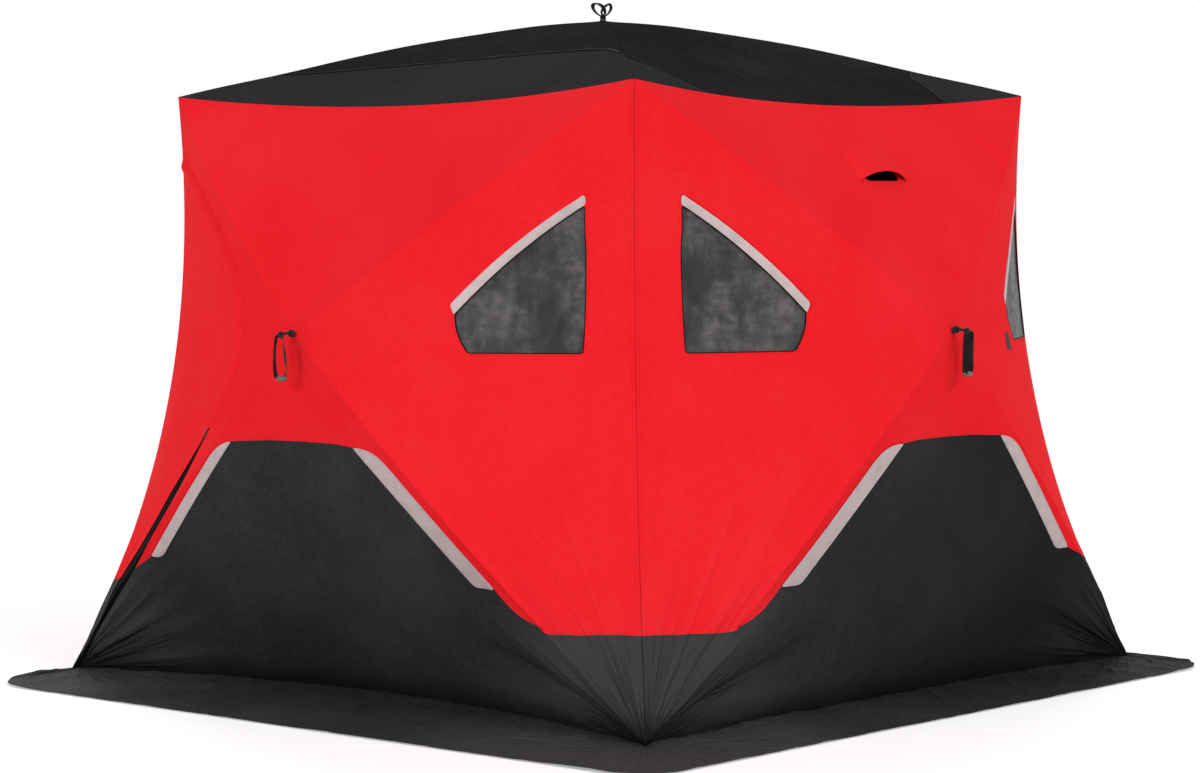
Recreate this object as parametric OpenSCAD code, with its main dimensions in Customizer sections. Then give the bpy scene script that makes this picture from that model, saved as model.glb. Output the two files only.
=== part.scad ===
// Pop-up ice fishing hut: one skin of insulated cloth pulled tight over twenty
// fibreglass poles. Five hubs push the middle of each wall and of the roof outward.
// Units are millimetres. The origin is on the ground under the middle of its outline.
// The front wall faces -Y and holds the door; the right wall faces +X, and +Z is up.

/* [Hut] */
// Side of the square between the four base corners
base_w = 2388; // [1500:1:3000]
// Side of the square between the four roof corners
roof_w = 1890; // [1200:1:2600]
// Height of the roof corners
eave_h = 1800; // [1400:1:2200]
// Rise of the roof cloth from its corners to its middle
roof_rise = 240; // [150:1:400]
// How far each wall hub stands out past the line of the base corners
hub_push = 155; // [60:1:250]
// Height of each wall hub
hub_h = 1088; // [800:1:1400]

/* [Cloth] */
// Thickness of the quilted cloth
cloth_t = 5; // [3:0.5:8]
// Thickness of the skirt cloth
skirt_t = 4; // [2:0.5:6]
// Inward bow of the corner seams at half height
seam_in = 90; // [20:1:120]
// Share by which the seam's bow leans toward the floor
seam_skew = 0.25; // [0:0.05:0.4]
// Sag of each eave at its middle
eave_sag = 50; // [10:1:80]
// Inward bow of each eave at its middle
eave_in = 47; // [10:1:80]
// Outward bow of the wall poles
pole_bow = 25; // [5:1:50]
// Upward bow of the roof poles
ridge_bow = 22; // [5:1:50]
// Inward bow of the front and back wall at the floor
front_foot_in = 180; // [20:1:220]
// Rise of the front and back wall off the floor at the middle
front_foot_up = 16; // [0:1:30]
// Inward bow of the side walls at the floor
side_foot_in = 36; // [20:1:220]
// Rise of the side walls off the floor at the middle
side_foot_up = 6; // [0:1:30]

/* [Skirt] */
// Reach of the front skirt past the base corners
front_skirt_w = 385; // [200:1:450]
// Reach of the right skirt past the base corners
right_skirt_w = 330; // [200:1:450]
// Reach of the back skirt, most of it folded under
back_skirt_w = 150; // [100:1:450]
// Reach of the left skirt, most of it folded under
left_skirt_w = 90; // [70:1:450]
// Radius of the skirt's rounded outer corners
skirt_r = 150; // [60:1:250]

/* [Dark lower panel] */
// Height of the panel's top edge
panel_top_h = 772; // [600:1:850]
// Half the width of the panel's top edge
panel_top_half = 340; // [200:1:400]
// Distance from the wall's middle to the shoulder where the slope ends
shoulder_half = 715; // [550:1:760]
// Height of the shoulder
shoulder_h = 396; // [340:1:500]
// Height of the panel's edge at the corner seams
panel_side_h = 284; // [150:1:330]
// Width of the reflective strips on the panel's slopes
slope_strip_w = 48; // [20:1:80]

/* [Windows] */
// Distance of the window's outer side in from the line of the roof corners
window_edge = 119; // [105:1:185]
// Width of the window, from its inner tip to its outer side
window_w = 346; // [260:1:410]
// Drop of the window's sill below the hub
window_sill_drop = 48; // [8:1:110]
// Rise of the window's inner tip above the hub
window_tip_rise = 86; // [40:1:140]
// Drop of the window's outer top corner below the roof corner
window_top_drop = 325; // [300:1:450]
// Inward shift of the sill's inner end from the tip
window_sill_in = 60; // [20:1:100]
// Width of the reflective strip on the window's sloping top
window_strip_w = 30; // [15:1:50]
// How far the window's sloping edge bows out
window_bow = 15; // [0:1:25]
// Thickness of the clear vinyl
pane_t = 2; // [1:0.5:3]
// Width of the vinyl that is sewn behind the cloth
pane_lap = 20; // [10:1:30]

/* [Door] */
// Distance from the wall's middle to the deepest point of the door's curve
door_half = 312; // [250:1:420]
// Drop of the door's upper end below the roof corner
door_top_drop = 190; // [120:1:260]
// Width of the zip
zip_w = 20; // [12:1:30]

/* [Frame] */
// Diameter of the poles
pole_d = 11; // [8:0.5:14]
// Diameter of the sockets that hold the poles
socket_d = 18; // [15:0.5:24]
// Length of the sockets
socket_l = 62; // [40:1:80]
// Diameter of the hub's body
hub_d = 60; // [50:1:80]
// Diameter of the stud through the cloth
stud_d = 6; // [5:1:14]
// Diameter of the washer outside the cloth
washer_d = 20; // [18:1:60]
// Diameter of the corner blocks
corner_d = 40; // [30:1:44]

/* [Straps] */
// Width of a hub strap's loop
strap_w = 48; // [36:1:60]
// Length of a hub strap's loop
strap_l = 138; // [100:1:170]
// Width of the webbing
webbing_w = 22; // [15:1:30]
// Thickness of the webbing, doubled and sewn
webbing_t = 6; // [4:0.5:8]
// Length of the link that holds a loop off the wall
strap_link_l = 30; // [8:1:40]
// Height of the loop on the roof
roof_strap_l = 50; // [40:1:70]

/* [Vents] */
// Width of a vent hood
vent_w = 236; // [160:1:280]
// Drop of the hood's top edge below the roof corners
vent_drop = 102; // [90:1:150]
// Height of the hood, from its top edge to its mouth
vent_l = 176; // [120:1:198]
// Height of the mouth's gap
vent_gap = 30; // [15:1:45]

/* [Hidden] */

base_half = base_w / 2;
roof_half = roof_w / 2;
apex_h = eave_h + roof_rise;
hub_out = base_half + hub_push;
pole_r = pole_d / 2;
socket_r = socket_d / 2;
// The cloth's small gap to what is sewn on it
lay_gap = 0.3;
// A little more than nothing, to cut past a face
past = 1;
// Rings from a hub to the edge, and steps along one edge
RINGS = 6;
STEPS = 8;
// The skin starts this share of the way from a hub, which leaves the stud's hole
stud_gap = 1.1;
hole_share = (stud_d / 2 + stud_gap) / min(eave_h - hub_h, hub_h, roof_half);
// How fast an edge's bow dies away toward the hub
edge_power = 2;
// Share of a depth that moves the roof corners in and down, so the thickness stays even
corner_in = 0.7;
corner_down = 0.85;
// Depth of the poles' centre lines behind the outer face of the cloth
pole_depth = cloth_t + 1.25 * socket_r + 1;
// Length of a ray across the whole hut, for cutting outlines through a wall
reach = 3 * base_w;
// Sectors of a wall, clockwise from the top as seen from outside
TOP = 0;
RIGHT = 1;
FOOT = 2;
LEFT = 3;
// Walls, by quarter turns from the front
FRONT_WALL = 0;
RIGHT_WALL = 1;
BACK_WALL = 2;
LEFT_WALL = 3;

cloth_red = [0.86, 0.10, 0.13];
cloth_black = [0.14, 0.14, 0.15];
roof_black = [0.12, 0.12, 0.13];
strip_grey = [0.78, 0.72, 0.74];
vinyl_grey = [0.30, 0.30, 0.31, 0.7];
pole_grey = [0.35, 0.36, 0.38];
plastic_black = [0.08, 0.08, 0.09];

// ---- Shape of the skin ----------------------------------------------------

// A bow that is nothing at both ends and one in the middle
function bow(x) = 4 * x * (1 - x);
function mix(a, b, x) = a * (1 - x) + b * x;
function unit(v) = v / norm(v);
function is_front(wall) = wall % 2 == 0;
function foot_in(wall) = is_front(wall) ? front_foot_in : side_foot_in;
function foot_up(wall) = is_front(wall) ? front_foot_up : side_foot_up;

// Points of a wall are [along, outward, up]. depth is the distance in from the
// outer face, and every layer of the wall is this same shape at its own depth.
function hub_point(depth) = [0, hub_out - depth, hub_h];
function roof_corner(side, depth) =
    [side * (roof_half - corner_in * depth), roof_half - corner_in * depth,
     eave_h - corner_down * depth];
function base_corner(side, depth) =
    [side * (base_half - depth), base_half - depth, skirt_t];
function corner(index, depth) =
    index == 0 ? roof_corner(-1, depth)
    : index == 1 ? roof_corner(1, depth)
    : index == 2 ? base_corner(1, depth)
    : index == 3 ? base_corner(-1, depth)
    : roof_corner(-1, depth);

// Centre line of a bent pole from a hub point to a corner
function pole_point(hub, end, x, height) =
    let (line = end - hub,
         lift = [0, 1, 0],
         up = unit(lift - line * (lift * line) / (line * line)))
    hub + line * x + up * height * bow(x);
function wall_pole(index, x, depth) =
    pole_point(hub_point(depth), corner(index, depth), x, pole_bow);

// Outer edge of a sector, x running clockwise
function eave_point(x, depth) =
    let (a = roof_corner(-1, depth), b = roof_corner(1, depth))
    mix(a, b, x) - [0, eave_in * bow(x), eave_sag * bow(x)];
function seam_point(side, rise, depth) =
    let (a = base_corner(side, depth), b = roof_corner(side, depth),
         inward = seam_in * bow(rise) * (1 + seam_skew * (0.5 - rise)))
    mix(a, b, rise) - [side * inward, inward, 0];
function foot_point(x, depth, wall) =
    let (a = base_corner(1, depth), b = base_corner(-1, depth))
    mix(a, b, x) + [0, -foot_in(wall) * bow(x), foot_up(wall) * bow(x)];
function edge_point(sector, x, depth, wall) =
    sector == TOP ? eave_point(x, depth)
    : sector == RIGHT ? seam_point(1, 1 - x, depth)
    : sector == FOOT ? foot_point(x, depth, wall)
    : seam_point(-1, x, depth);

// A point of the wall: out runs from the hub to the edge, x across the sector
function wall_point(sector, out, x, depth, wall) =
    let (a = corner(sector, depth), b = corner(sector + 1, depth))
    mix(wall_pole(sector, out, depth), wall_pole(sector + 1, out, depth), x)
    + pow(out, edge_power) * (edge_point(sector, x, depth, wall) - mix(a, b, x));

// The roof, as four sectors round its own hub, in the hut's own axes
function roof_pole(side, out, depth) =
    let (c = roof_corner(side, depth), apex = [0, 0, apex_h - depth])
    mix(apex, c, out) + [0, 0, ridge_bow * bow(out)];
function roof_point(out, x, depth) =
    let (a = roof_corner(-1, depth), b = roof_corner(1, depth))
    mix(roof_pole(-1, out, depth), roof_pole(1, out, depth), x)
    + pow(out, edge_power) * (eave_point(x, depth) - mix(a, b, x));

// From a wall's [along, outward, up] to the hut's axes, as the front wall
function stand(p) = [p.x, -p.y, p.z];
function shares(count, from, to) = [for (i = [0 : count]) mix(from, to, i / count)];

// ---- Sheets ---------------------------------------------------------------

function grid_faces(rows, cols, first, flip) =
    [for (r = [0 : rows - 2], c = [0 : cols - 2])
        let (a = first + r * cols + c, b = a + 1, d = a + cols, e = d + 1)
        each flip ? [[a, e, b], [a, d, e]] : [[a, b, e], [a, e, d]]];
function rim_faces(front, back) =
    [for (i = [0 : len(front) - 2])
        each [[front[i], back[i], front[i + 1]], [front[i + 1], back[i], back[i + 1]]]];

// A sheet between two grids of points with the same rows and columns. The outer
// grid reads left to right along a row, and its rows run inward to outward.
module sheet(outer, inner) {
    rows = len(outer);
    cols = len(outer[0]);
    half = rows * cols;
    start = [for (c = [0 : cols - 1]) c];
    finish = [for (c = [0 : cols - 1]) (rows - 1) * cols + c];
    left = [for (r = [0 : rows - 1]) r * cols];
    right = [for (r = [0 : rows - 1]) r * cols + cols - 1];
    back = [for (i = [0 : half - 1]) i + half];
    function behind(list) = [for (i = list) back[i]];
    polyhedron(
        points = concat([for (row = outer) each row], [for (row = inner) each row]),
        faces = concat(
            grid_faces(rows, cols, 0, false),
            grid_faces(rows, cols, half, true),
            rim_faces(start, behind(start)),
            rim_faces(behind(finish), finish),
            rim_faces(behind(left), left),
            rim_faces(right, behind(right))
        )
    );
}

// A closed band of sheet all round a hub, from the stud's hole to the edges. The
// columns run clockwise as seen from outside, and the rows run inward to outward.
module ring_sheet(outer, inner) {
    rows = len(outer);
    cols = len(outer[0]);
    half = rows * cols;
    function at(r, c, side) = side * half + r * cols + c % cols;
    polyhedron(
        points = concat([for (row = outer) each row], [for (row = inner) each row]),
        faces = concat(
            [for (r = [0 : rows - 2], c = [0 : cols - 1])
                each [[at(r, c, 0), at(r + 1, c + 1, 0), at(r, c + 1, 0)],
                      [at(r, c, 0), at(r + 1, c, 0), at(r + 1, c + 1, 0)]]],
            [for (r = [0 : rows - 2], c = [0 : cols - 1])
                each [[at(r, c, 1), at(r, c + 1, 1), at(r + 1, c + 1, 1)],
                      [at(r, c, 1), at(r + 1, c + 1, 1), at(r + 1, c, 1)]]],
            [for (c = [0 : cols - 1])
                each [[at(0, c, 0), at(0, c + 1, 0), at(0, c, 1)],
                      [at(0, c + 1, 0), at(0, c + 1, 1), at(0, c, 1)]]],
            [for (c = [0 : cols - 1])
                each [[at(rows - 1, c, 1), at(rows - 1, c + 1, 1), at(rows - 1, c, 0)],
                      [at(rows - 1, c + 1, 1), at(rows - 1, c + 1, 0), at(rows - 1, c, 0)]]]
        )
    );
}

// One layer of a whole wall between two depths
module wall_layer(wall, shallow, deep) {
    function layer(depth) =
        [for (out = shares(RINGS, hole_share, 1))
            [for (sector = [TOP, RIGHT, FOOT, LEFT], i = [0 : STEPS - 1])
                stand(wall_point(sector, out, i / STEPS, depth, wall))]];
    ring_sheet(layer(shallow), layer(deep));
}

// An outline in a wall's [along, up] plane, carried right through the wall
module through_wall() {
    rotate([90, 0, 0])
        linear_extrude(height = reach)
            children();
}
module on_wall(wall) {
    rotate([0, 0, 90 * wall])
        children();
}

// ---- Outlines -------------------------------------------------------------

function bezier(a, b, c, d, count) =
    [for (i = [0 : count])
        let (x = i / count, y = 1 - x)
        a * y * y * y + b * 3 * x * y * y + c * 3 * x * x * y + d * x * x * x];

// Right half of the dark panel's top edge, from the middle to the corner seam
panel_curve = 5;
panel_edge = concat(
    [[0, panel_top_h + 6], [panel_top_half - 60, panel_top_h], [panel_top_half, panel_top_h - 6]],
    bezier([shoulder_half, shoulder_h],
           [shoulder_half + 80, mix(panel_side_h, shoulder_h, 0.3)],
           [shoulder_half + 130, panel_side_h + 6],
           [shoulder_half + 240, panel_side_h], panel_curve),
    [[reach, panel_side_h]]
);
function mirrored(points) = [for (i = [len(points) - 1 : -1 : 1]) [-points[i].x, points[i].y]];
module dark_panel() {
    polygon(concat(mirrored(panel_edge), panel_edge, [[reach, -reach], [-reach, -reach]]));
}

// Strip down the panel's right slope, with level ends
slope = unit([shoulder_half - panel_top_half, shoulder_h - panel_top_h]);
strip_across = slope_strip_w / -slope.y;
module slope_strip() {
    polygon([
        [panel_top_half - strip_across, panel_top_h - 6],
        [panel_top_half, panel_top_h - 6],
        [shoulder_half, shoulder_h],
        [shoulder_half - strip_across, shoulder_h]
    ]);
}

// Right window, with its sloping strip cut off the top
window_side_lean = 16;
window_out = roof_half - window_edge;
window_in = window_out - window_w;
window_sill_h = hub_h - window_sill_drop;
window_tip_h = hub_h + window_tip_rise;
window_top_h = eave_h - window_top_drop;
window_tip = [window_in, window_tip_h];
window_top = [window_out - window_side_lean / 2, window_top_h];
window_slope = unit(window_top - window_tip);
window_drop = window_strip_w / window_slope.x;
sill_inner = [window_in + window_sill_in, window_sill_h];
sill_outer = [window_out + window_side_lean / 2, window_sill_h];
strip_tip_share = window_drop * 0.72 / (window_tip_h - window_sill_h);
window_tip_low = mix(window_tip, sill_inner, strip_tip_share);
window_top_low = mix(window_top, sill_outer, window_drop / (window_top_h - window_sill_h));
window_bow_steps = 4;
function bowed(a, b) =
    [for (x = shares(window_bow_steps, 0, 1))
        mix(a, b, x) + window_bow * bow(x) * [-window_slope.y, window_slope.x]];
module window_hole() {
    polygon(concat(bowed(window_tip_low, window_top_low), [sill_outer, sill_inner]));
}
module window_strip() {
    polygon(concat(
        bowed(window_tip, window_top),
        reversed(bowed(window_tip_low, window_top_low))
    ));
}
module window_lap() {
    polygon(concat(
        bowed(window_tip_low + [-pane_lap, 0], window_top_low + [pane_lap, pane_lap]),
        [sill_outer + [pane_lap, -pane_lap], sill_inner + [-pane_lap / 2, -pane_lap]]
    ));
}
module both_sides() {
    children();
    mirror([1, 0])
        children();
}
function has_left_window(wall) = wall != FRONT_WALL;
module window_places(wall) {
    if (has_left_window(wall))
        both_sides()
            children();
    else
        children();
}

// The door's curve on the front wall, from the left corner seam in to the pole
// crossing and down to the base corner
door_steps = 9;
door_middle = [-door_half, hub_h - 8];
door_upper = bezier([-roof_half - 15, eave_h - door_top_drop],
                    [-0.6 * roof_half, eave_h - 2 * door_top_drop + 10],
                    [-door_half - 6, hub_h + 152], door_middle, door_steps);
door_lower = bezier(door_middle, [-door_half + 12, hub_h - 228],
                    [-0.52 * base_half, 0.5 * hub_h],
                    [-base_half + 14, skirt_t], door_steps);
door_path = concat(door_upper, [for (i = [1 : door_steps]) door_lower[i]]);
function path_side(path, offset) =
    [for (i = [0 : len(path) - 1])
        let (a = path[max(i - 1, 0)], b = path[min(i + 1, len(path) - 1)], d = unit(b - a))
        path[i] + offset * [-d.y, d.x]];
function reversed(list) = [for (i = [len(list) - 1 : -1 : 0]) list[i]];
module door_area(offset) {
    edge = path_side(door_path, offset);
    last = edge[len(edge) - 1];
    polygon(concat(
        [[-reach, edge[0].y], [edge[0].x - past, edge[0].y]],
        edge, [[last.x, -reach], [-reach, -reach]]
    ));
}
module zip_band() {
    half = zip_w / 2 - lay_gap;
    polygon(concat(path_side(door_path, half), reversed(path_side(door_path, -half))));
}

// ---- Cloth ----------------------------------------------------------------

vent_top_h = eave_h - vent_drop;
vent_mouth_h = vent_top_h - vent_l;
module vent_hole() {
    inset = 40;
    translate([-vent_w / 2 + inset, vent_mouth_h + inset / 2])
        square([vent_w - 2 * inset, vent_top_h - vent_mouth_h - inset]);
}
function has_vent(wall) = !is_front(wall);
function has_door(wall) = wall == FRONT_WALL;

module wall_upper(wall) {
    color(cloth_red)
        on_wall(wall)
            difference() {
                wall_layer(wall, 0, cloth_t);
                through_wall()
                    dark_panel();
                through_wall()
                    window_places(wall)
                        window_hole();
                if (has_vent(wall))
                    through_wall()
                        vent_hole();
                if (has_door(wall))
                    through_wall()
                        door_area(zip_w / 2);
            }
}
module wall_lower(wall) {
    color(cloth_black)
        on_wall(wall)
            difference() {
                intersection() {
                    wall_layer(wall, 0, cloth_t);
                    through_wall()
                        dark_panel();
                }
                if (has_door(wall))
                    through_wall()
                        door_area(zip_w / 2);
            }
}
module door_flap() {
    color(cloth_red)
        difference() {
            intersection() {
                wall_layer(FRONT_WALL, 0, cloth_t);
                through_wall()
                    door_area(-zip_w / 2);
            }
            through_wall()
                dark_panel();
        }
}
module door_flap_foot() {
    color(cloth_black)
        intersection() {
            wall_layer(FRONT_WALL, 0, cloth_t);
            through_wall()
                intersection() {
                    door_area(-zip_w / 2);
                    dark_panel();
                }
        }
}
module door_zip() {
    color(plastic_black)
        intersection() {
            wall_layer(FRONT_WALL, -1, cloth_t);
            through_wall()
                zip_band();
        }
}

module roof_panel(wall) {
    function layer(depth) =
        [for (out = shares(RINGS, hole_share, 1))
            [for (x = shares(STEPS, 0, 1)) stand(roof_point(out, x, depth))]];
    color(roof_black)
        on_wall(wall)
            sheet(layer(0), layer(cloth_t));
}

// The skirt lies on the floor. Its inner edge runs under the wall's foot, and its
// ends meet the neighbours' on the diagonals.
corner_steps = 2;
skirt_widths = [front_skirt_w, right_skirt_w, back_skirt_w, left_skirt_w];
function skirt_reach(wall) = base_half + skirt_widths[wall % 4];
function skirt_corner(wall, side) =
    let (out = skirt_reach(wall) - skirt_r, across = skirt_reach(side) - skirt_r)
    [for (a = shares(corner_steps, 45, 90)) [across + skirt_r * cos(a), out + skirt_r * sin(a)]];
function skirt_outer(wall) =
    let (right = skirt_corner(wall, wall + 1), left = skirt_corner(wall, wall + 3),
         steps = STEPS - 2 * corner_steps, last = right[corner_steps],
         first = [-left[corner_steps].x, last.y])
    concat(
        right,
        [for (i = [1 : steps - 1]) mix(last, first, i / steps)],
        [for (p = reversed(left)) [-p.x, p.y]]
    );
skirt_flat_share = 0.45;
module skirt(wall) {
    outline = skirt_outer(wall);
    last = len(outline) - 1;
    // x goes the same way round as the foot, from the right corner to the left
    function inner(i) = foot_point(i / last, cloth_t, wall);
    function across(i, share) =
        let (a = inner(i), b = [outline[i].x, outline[i].y, skirt_t],
             rise = (a.z - skirt_t) * max(0, 1 - share / skirt_flat_share))
        [mix(a.x, b.x, share), mix(a.y, b.y, share), rise];
    function layer(lift) =
        [for (share = [0, skirt_flat_share, 1])
            [for (i = [last : -1 : 0]) stand(across(i, share)) + [0, 0, lift]]];
    color(cloth_black)
        on_wall(wall)
            sheet(layer(skirt_t), layer(0));
}

// ---- What is sewn on ------------------------------------------------------

module panes(wall) {
    color(vinyl_grey)
        on_wall(wall)
            intersection() {
                wall_layer(wall, cloth_t + lay_gap, cloth_t + lay_gap + pane_t);
                through_wall()
                    window_places(wall)
                        window_lap();
            }
}
strip_t = 1;
module strips(wall) {
    color(strip_grey)
        on_wall(wall)
            intersection() {
                wall_layer(wall, -lay_gap - strip_t, -lay_gap);
                through_wall() {
                    window_places(wall)
                        window_strip();
                    both_sides()
                        slope_strip();
                }
            }
}

// A hood stands off the wall along its lower edge, where it is open
hood_t = 3;
hood_rows = 4;
hood_cols = 8;
eave_mid = eave_point(0.5, 0);
function out_at(height) = (height - hub_h) / (eave_mid.z - hub_h);
module vent_hood(wall) {
    top_out = out_at(vent_top_h);
    mouth_out = out_at(vent_mouth_h);
    function hood_point(row, col, extra) =
        let (out = mix(top_out, mouth_out, row / hood_rows),
             x = 0.5 + (col / hood_cols - 0.5) * vent_w / (roof_w * out),
             puff = vent_gap * row / hood_rows * (1 - pow(abs(2 * col / hood_cols - 1), 4)))
        stand(wall_point(TOP, out, x, -lay_gap - puff - extra, wall));
    function layer(extra) =
        [for (row = [0 : hood_rows])
            [for (col = [0 : hood_cols]) hood_point(row, col, extra)]];
    on_wall(wall)
        difference() {
            sheet(layer(hood_t), layer(0));
            wall_layer(wall, -lay_gap, cloth_t);
        }
}
module vent_hoods() {
    color(cloth_red) {
        vent_hood(RIGHT_WALL);
        vent_hood(LEFT_WALL);
    }
}

tab_w = 40;
tab_l = 52;
tab_side = window_in - tab_w;
tab_h = window_sill_h - 0.5 * tab_l;
tab_t = 3;
module pull_tab() {
    color(plastic_black)
        on_wall(RIGHT_WALL)
            intersection() {
                wall_layer(RIGHT_WALL, -lay_gap - tab_t, -lay_gap);
                through_wall()
                    translate([tab_side, tab_h])
                        square([tab_w, tab_l]);
            }
}

// ---- Frame ----------------------------------------------------------------

module rod(a, b, r) {
    d = b - a;
    translate(a)
        rotate([0, acos(d.z / norm(d)), atan2(d.y, d.x)])
            cylinder(h = norm(d), r = r, $fn = 32);
}

// A pole swept along its bent centre line, with flat sides
pole_sides = 8;
pole_rings = 6;
module bent_pole(line) {
    count = len(line);
    function along(i) = unit(line[min(i + 1, count - 1)] - line[max(i - 1, 0)]);
    function ring(i) =
        let (d = along(i), side = unit(cross(d, [0.01, 0.02, 1])), up = cross(side, d))
        [for (k = [0 : pole_sides - 1])
            let (a = 360 * k / pole_sides)
            line[i] + pole_r * (cos(a) * side + sin(a) * up)];
    function at(i, k) = i * pole_sides + k % pole_sides;
    polyhedron(
        points = [for (i = [0 : count - 1]) each ring(i)],
        faces = concat(
            [[for (k = [pole_sides - 1 : -1 : 0]) at(0, k)]],
            [for (i = [0 : count - 2], k = [0 : pole_sides - 1])
                each [[at(i, k), at(i, k + 1), at(i + 1, k + 1)],
                      [at(i, k), at(i + 1, k + 1), at(i + 1, k)]]],
            [[for (k = [0 : pole_sides - 1]) at(count - 1, k)]]
        )
    );
}

// The poles run behind the cloth, from a hub's middle to a corner block's middle
pole_end_gap = 0.5;
roof_block_depth = cloth_t + 1.1 * corner_d / 2 + 1;
base_block_set = corner_d / 2 + 26;
base_socket_h = 18;
function base_block(side) =
    [side * (base_half - base_block_set), base_half - base_block_set, base_socket_h];
function pole_end(index) =
    index == 0 ? roof_corner(-1, roof_block_depth)
    : index == 1 ? roof_corner(1, roof_block_depth)
    : index == 2 ? base_block(1)
    : base_block(-1);
roof_pole_start = [0, 0, apex_h - pole_depth];
function wall_pole_length(index) = norm(pole_end(index) - hub_point(pole_depth));
roof_pole_length = norm(pole_end(1) - roof_pole_start);
function wall_pole_at(index, distance) =
    stand(pole_point(hub_point(pole_depth), pole_end(index),
                     distance / wall_pole_length(index), pole_bow));
function roof_pole_at(distance) =
    let (x = distance / roof_pole_length)
    stand(mix(roof_pole_start, pole_end(1), x) + [0, 0, ridge_bow * bow(x)]);

module wall_poles(wall) {
    color(pole_grey)
        on_wall(wall)
            for (index = [0 : 3]) {
                whole = wall_pole_length(index);
                ends = [socket_l + pole_end_gap, whole - socket_l - pole_end_gap];
                bent_pole([for (d = shares(pole_rings, ends[0], ends[1])) wall_pole_at(index, d)]);
            }
}
module roof_poles() {
    ends = [socket_l + pole_end_gap, roof_pole_length - socket_l - pole_end_gap];
    color(pole_grey)
        for (wall = [FRONT_WALL : LEFT_WALL])
            on_wall(wall)
                bent_pole([for (d = shares(pole_rings, ends[0], ends[1])) roof_pole_at(d)]);
}

// The hub's body, round the +Z axis, with the cloth's peak at z = 0
hub_nose = 12;
hub_nose_d = 16;
hub_cone = 17;
hub_body = 20;
washer_t = 5;
stud_end = 12;
washer_seat = hole_share * (hub_out - base_half) - pole_bow * bow(hole_share) - lay_gap;
module hub_core(seat) {
    translate([0, 0, -hub_nose - hub_cone - hub_body])
        cylinder(h = hub_body, d = hub_d, $fn = 48);
    translate([0, 0, -hub_nose - hub_cone])
        cylinder(h = hub_cone, d1 = hub_d, d2 = hub_nose_d, $fn = 48);
    translate([0, 0, -hub_nose - past])
        cylinder(h = hub_nose + stud_end + past, d = stud_d, $fn = 48);
    translate([0, 0, -seat])
        cylinder(h = washer_t, d = washer_d, $fn = 48);
}
socket_root = 8;
module wall_hub(wall) {
    color(plastic_black)
        on_wall(wall) {
            translate(stand(hub_point(0)))
                rotate([90, 0, 0])
                    hub_core(washer_seat);
            for (index = [0 : 3])
                rod(wall_pole_at(index, socket_root), wall_pole_at(index, socket_l), socket_r);
        }
}
roof_seat = hole_share * (apex_h - eave_h) - ridge_bow * bow(hole_share) - lay_gap;
module roof_hub() {
    color(plastic_black) {
        translate([0, 0, apex_h])
            hub_core(roof_seat);
        for (wall = [FRONT_WALL : LEFT_WALL])
            on_wall(wall)
                rod(roof_pole_at(socket_root), roof_pole_at(socket_l), socket_r);
    }
}

// The same place on the next wall round, seen from this one
function neighbour(p) = [-p.y, p.x, p.z];
module roof_corner_blocks() {
    middle = stand(pole_end(1));
    color(plastic_black)
        for (wall = [FRONT_WALL : LEFT_WALL])
            on_wall(wall) {
                translate(middle)
                    sphere(d = corner_d, $fn = 48);
                rod(middle, wall_pole_at(1, wall_pole_length(1) - socket_l), socket_r);
                rod(middle, neighbour(wall_pole_at(0, wall_pole_length(0) - socket_l)), socket_r);
                rod(middle, roof_pole_at(roof_pole_length - socket_l), socket_r);
            }
}

base_block_h = 30;
module base_corner_blocks() {
    middle = stand(base_block(1));
    color(plastic_black)
        for (wall = [FRONT_WALL : LEFT_WALL])
            on_wall(wall) {
                translate([middle.x, middle.y, 0])
                    cylinder(h = base_block_h, d = corner_d, $fn = 48);
                rod(middle, wall_pole_at(2, wall_pole_length(2) - socket_l), socket_r);
                rod(middle, neighbour(wall_pole_at(3, wall_pole_length(3) - socket_l)), socket_r);
            }
}

// ---- Straps ---------------------------------------------------------------

module round_bar(length, width) {
    translate([-width / 2, -length + width / 2])
        square([width, length - width]);
    for (end = [-width / 2, -length + width / 2])
        translate([0, end])
            circle(d = width, $fn = 48);
}
// A loop of webbing in the [along, up] plane, on a short link that the stud holds
strap_rise = 3;
strap_link_w = 14;
strap_link_t = 4;
strap_link_drop = 1.2;
module hanging_loop(length) {
    linear_extrude(height = webbing_w)
        difference() {
            round_bar(length, strap_w);
            translate([0, -webbing_t])
                round_bar(length - 2 * webbing_t, strap_w - 2 * webbing_t);
        }
    translate([-strap_link_w / 2, -strap_link_drop - strap_link_t, -strap_link_l])
        cube([strap_link_w, strap_link_t, strap_link_l + past]);
}
module wall_strap(wall) {
    color(plastic_black)
        on_wall(wall)
            translate([0, -hub_out - stud_end - lay_gap - strap_link_l, hub_h + strap_rise])
                rotate([90, 0, 0])
                    hanging_loop(strap_l);
}
module roof_strap() {
    color(plastic_black)
        translate([0, webbing_w / 2, apex_h + stud_end + lay_gap + roof_strap_l])
            rotate([90, 0, 0])
                linear_extrude(height = webbing_w)
                    difference() {
                        round_bar(roof_strap_l, strap_w);
                        translate([0, -webbing_t])
                            round_bar(roof_strap_l - 2 * webbing_t, strap_w - 2 * webbing_t);
                    }
}

// The part stands with the middle of its outline over the origin
strap_reach = hub_out + stud_end + lay_gap + strap_link_l + webbing_w;
function side_reach(wall) = max(skirt_reach(wall), strap_reach);
outline_middle = [
    side_reach(RIGHT_WALL) - side_reach(LEFT_WALL),
    side_reach(BACK_WALL) - side_reach(FRONT_WALL)
] / 2;
module centred() {
    translate(-outline_middle)
        children();
}

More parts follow.
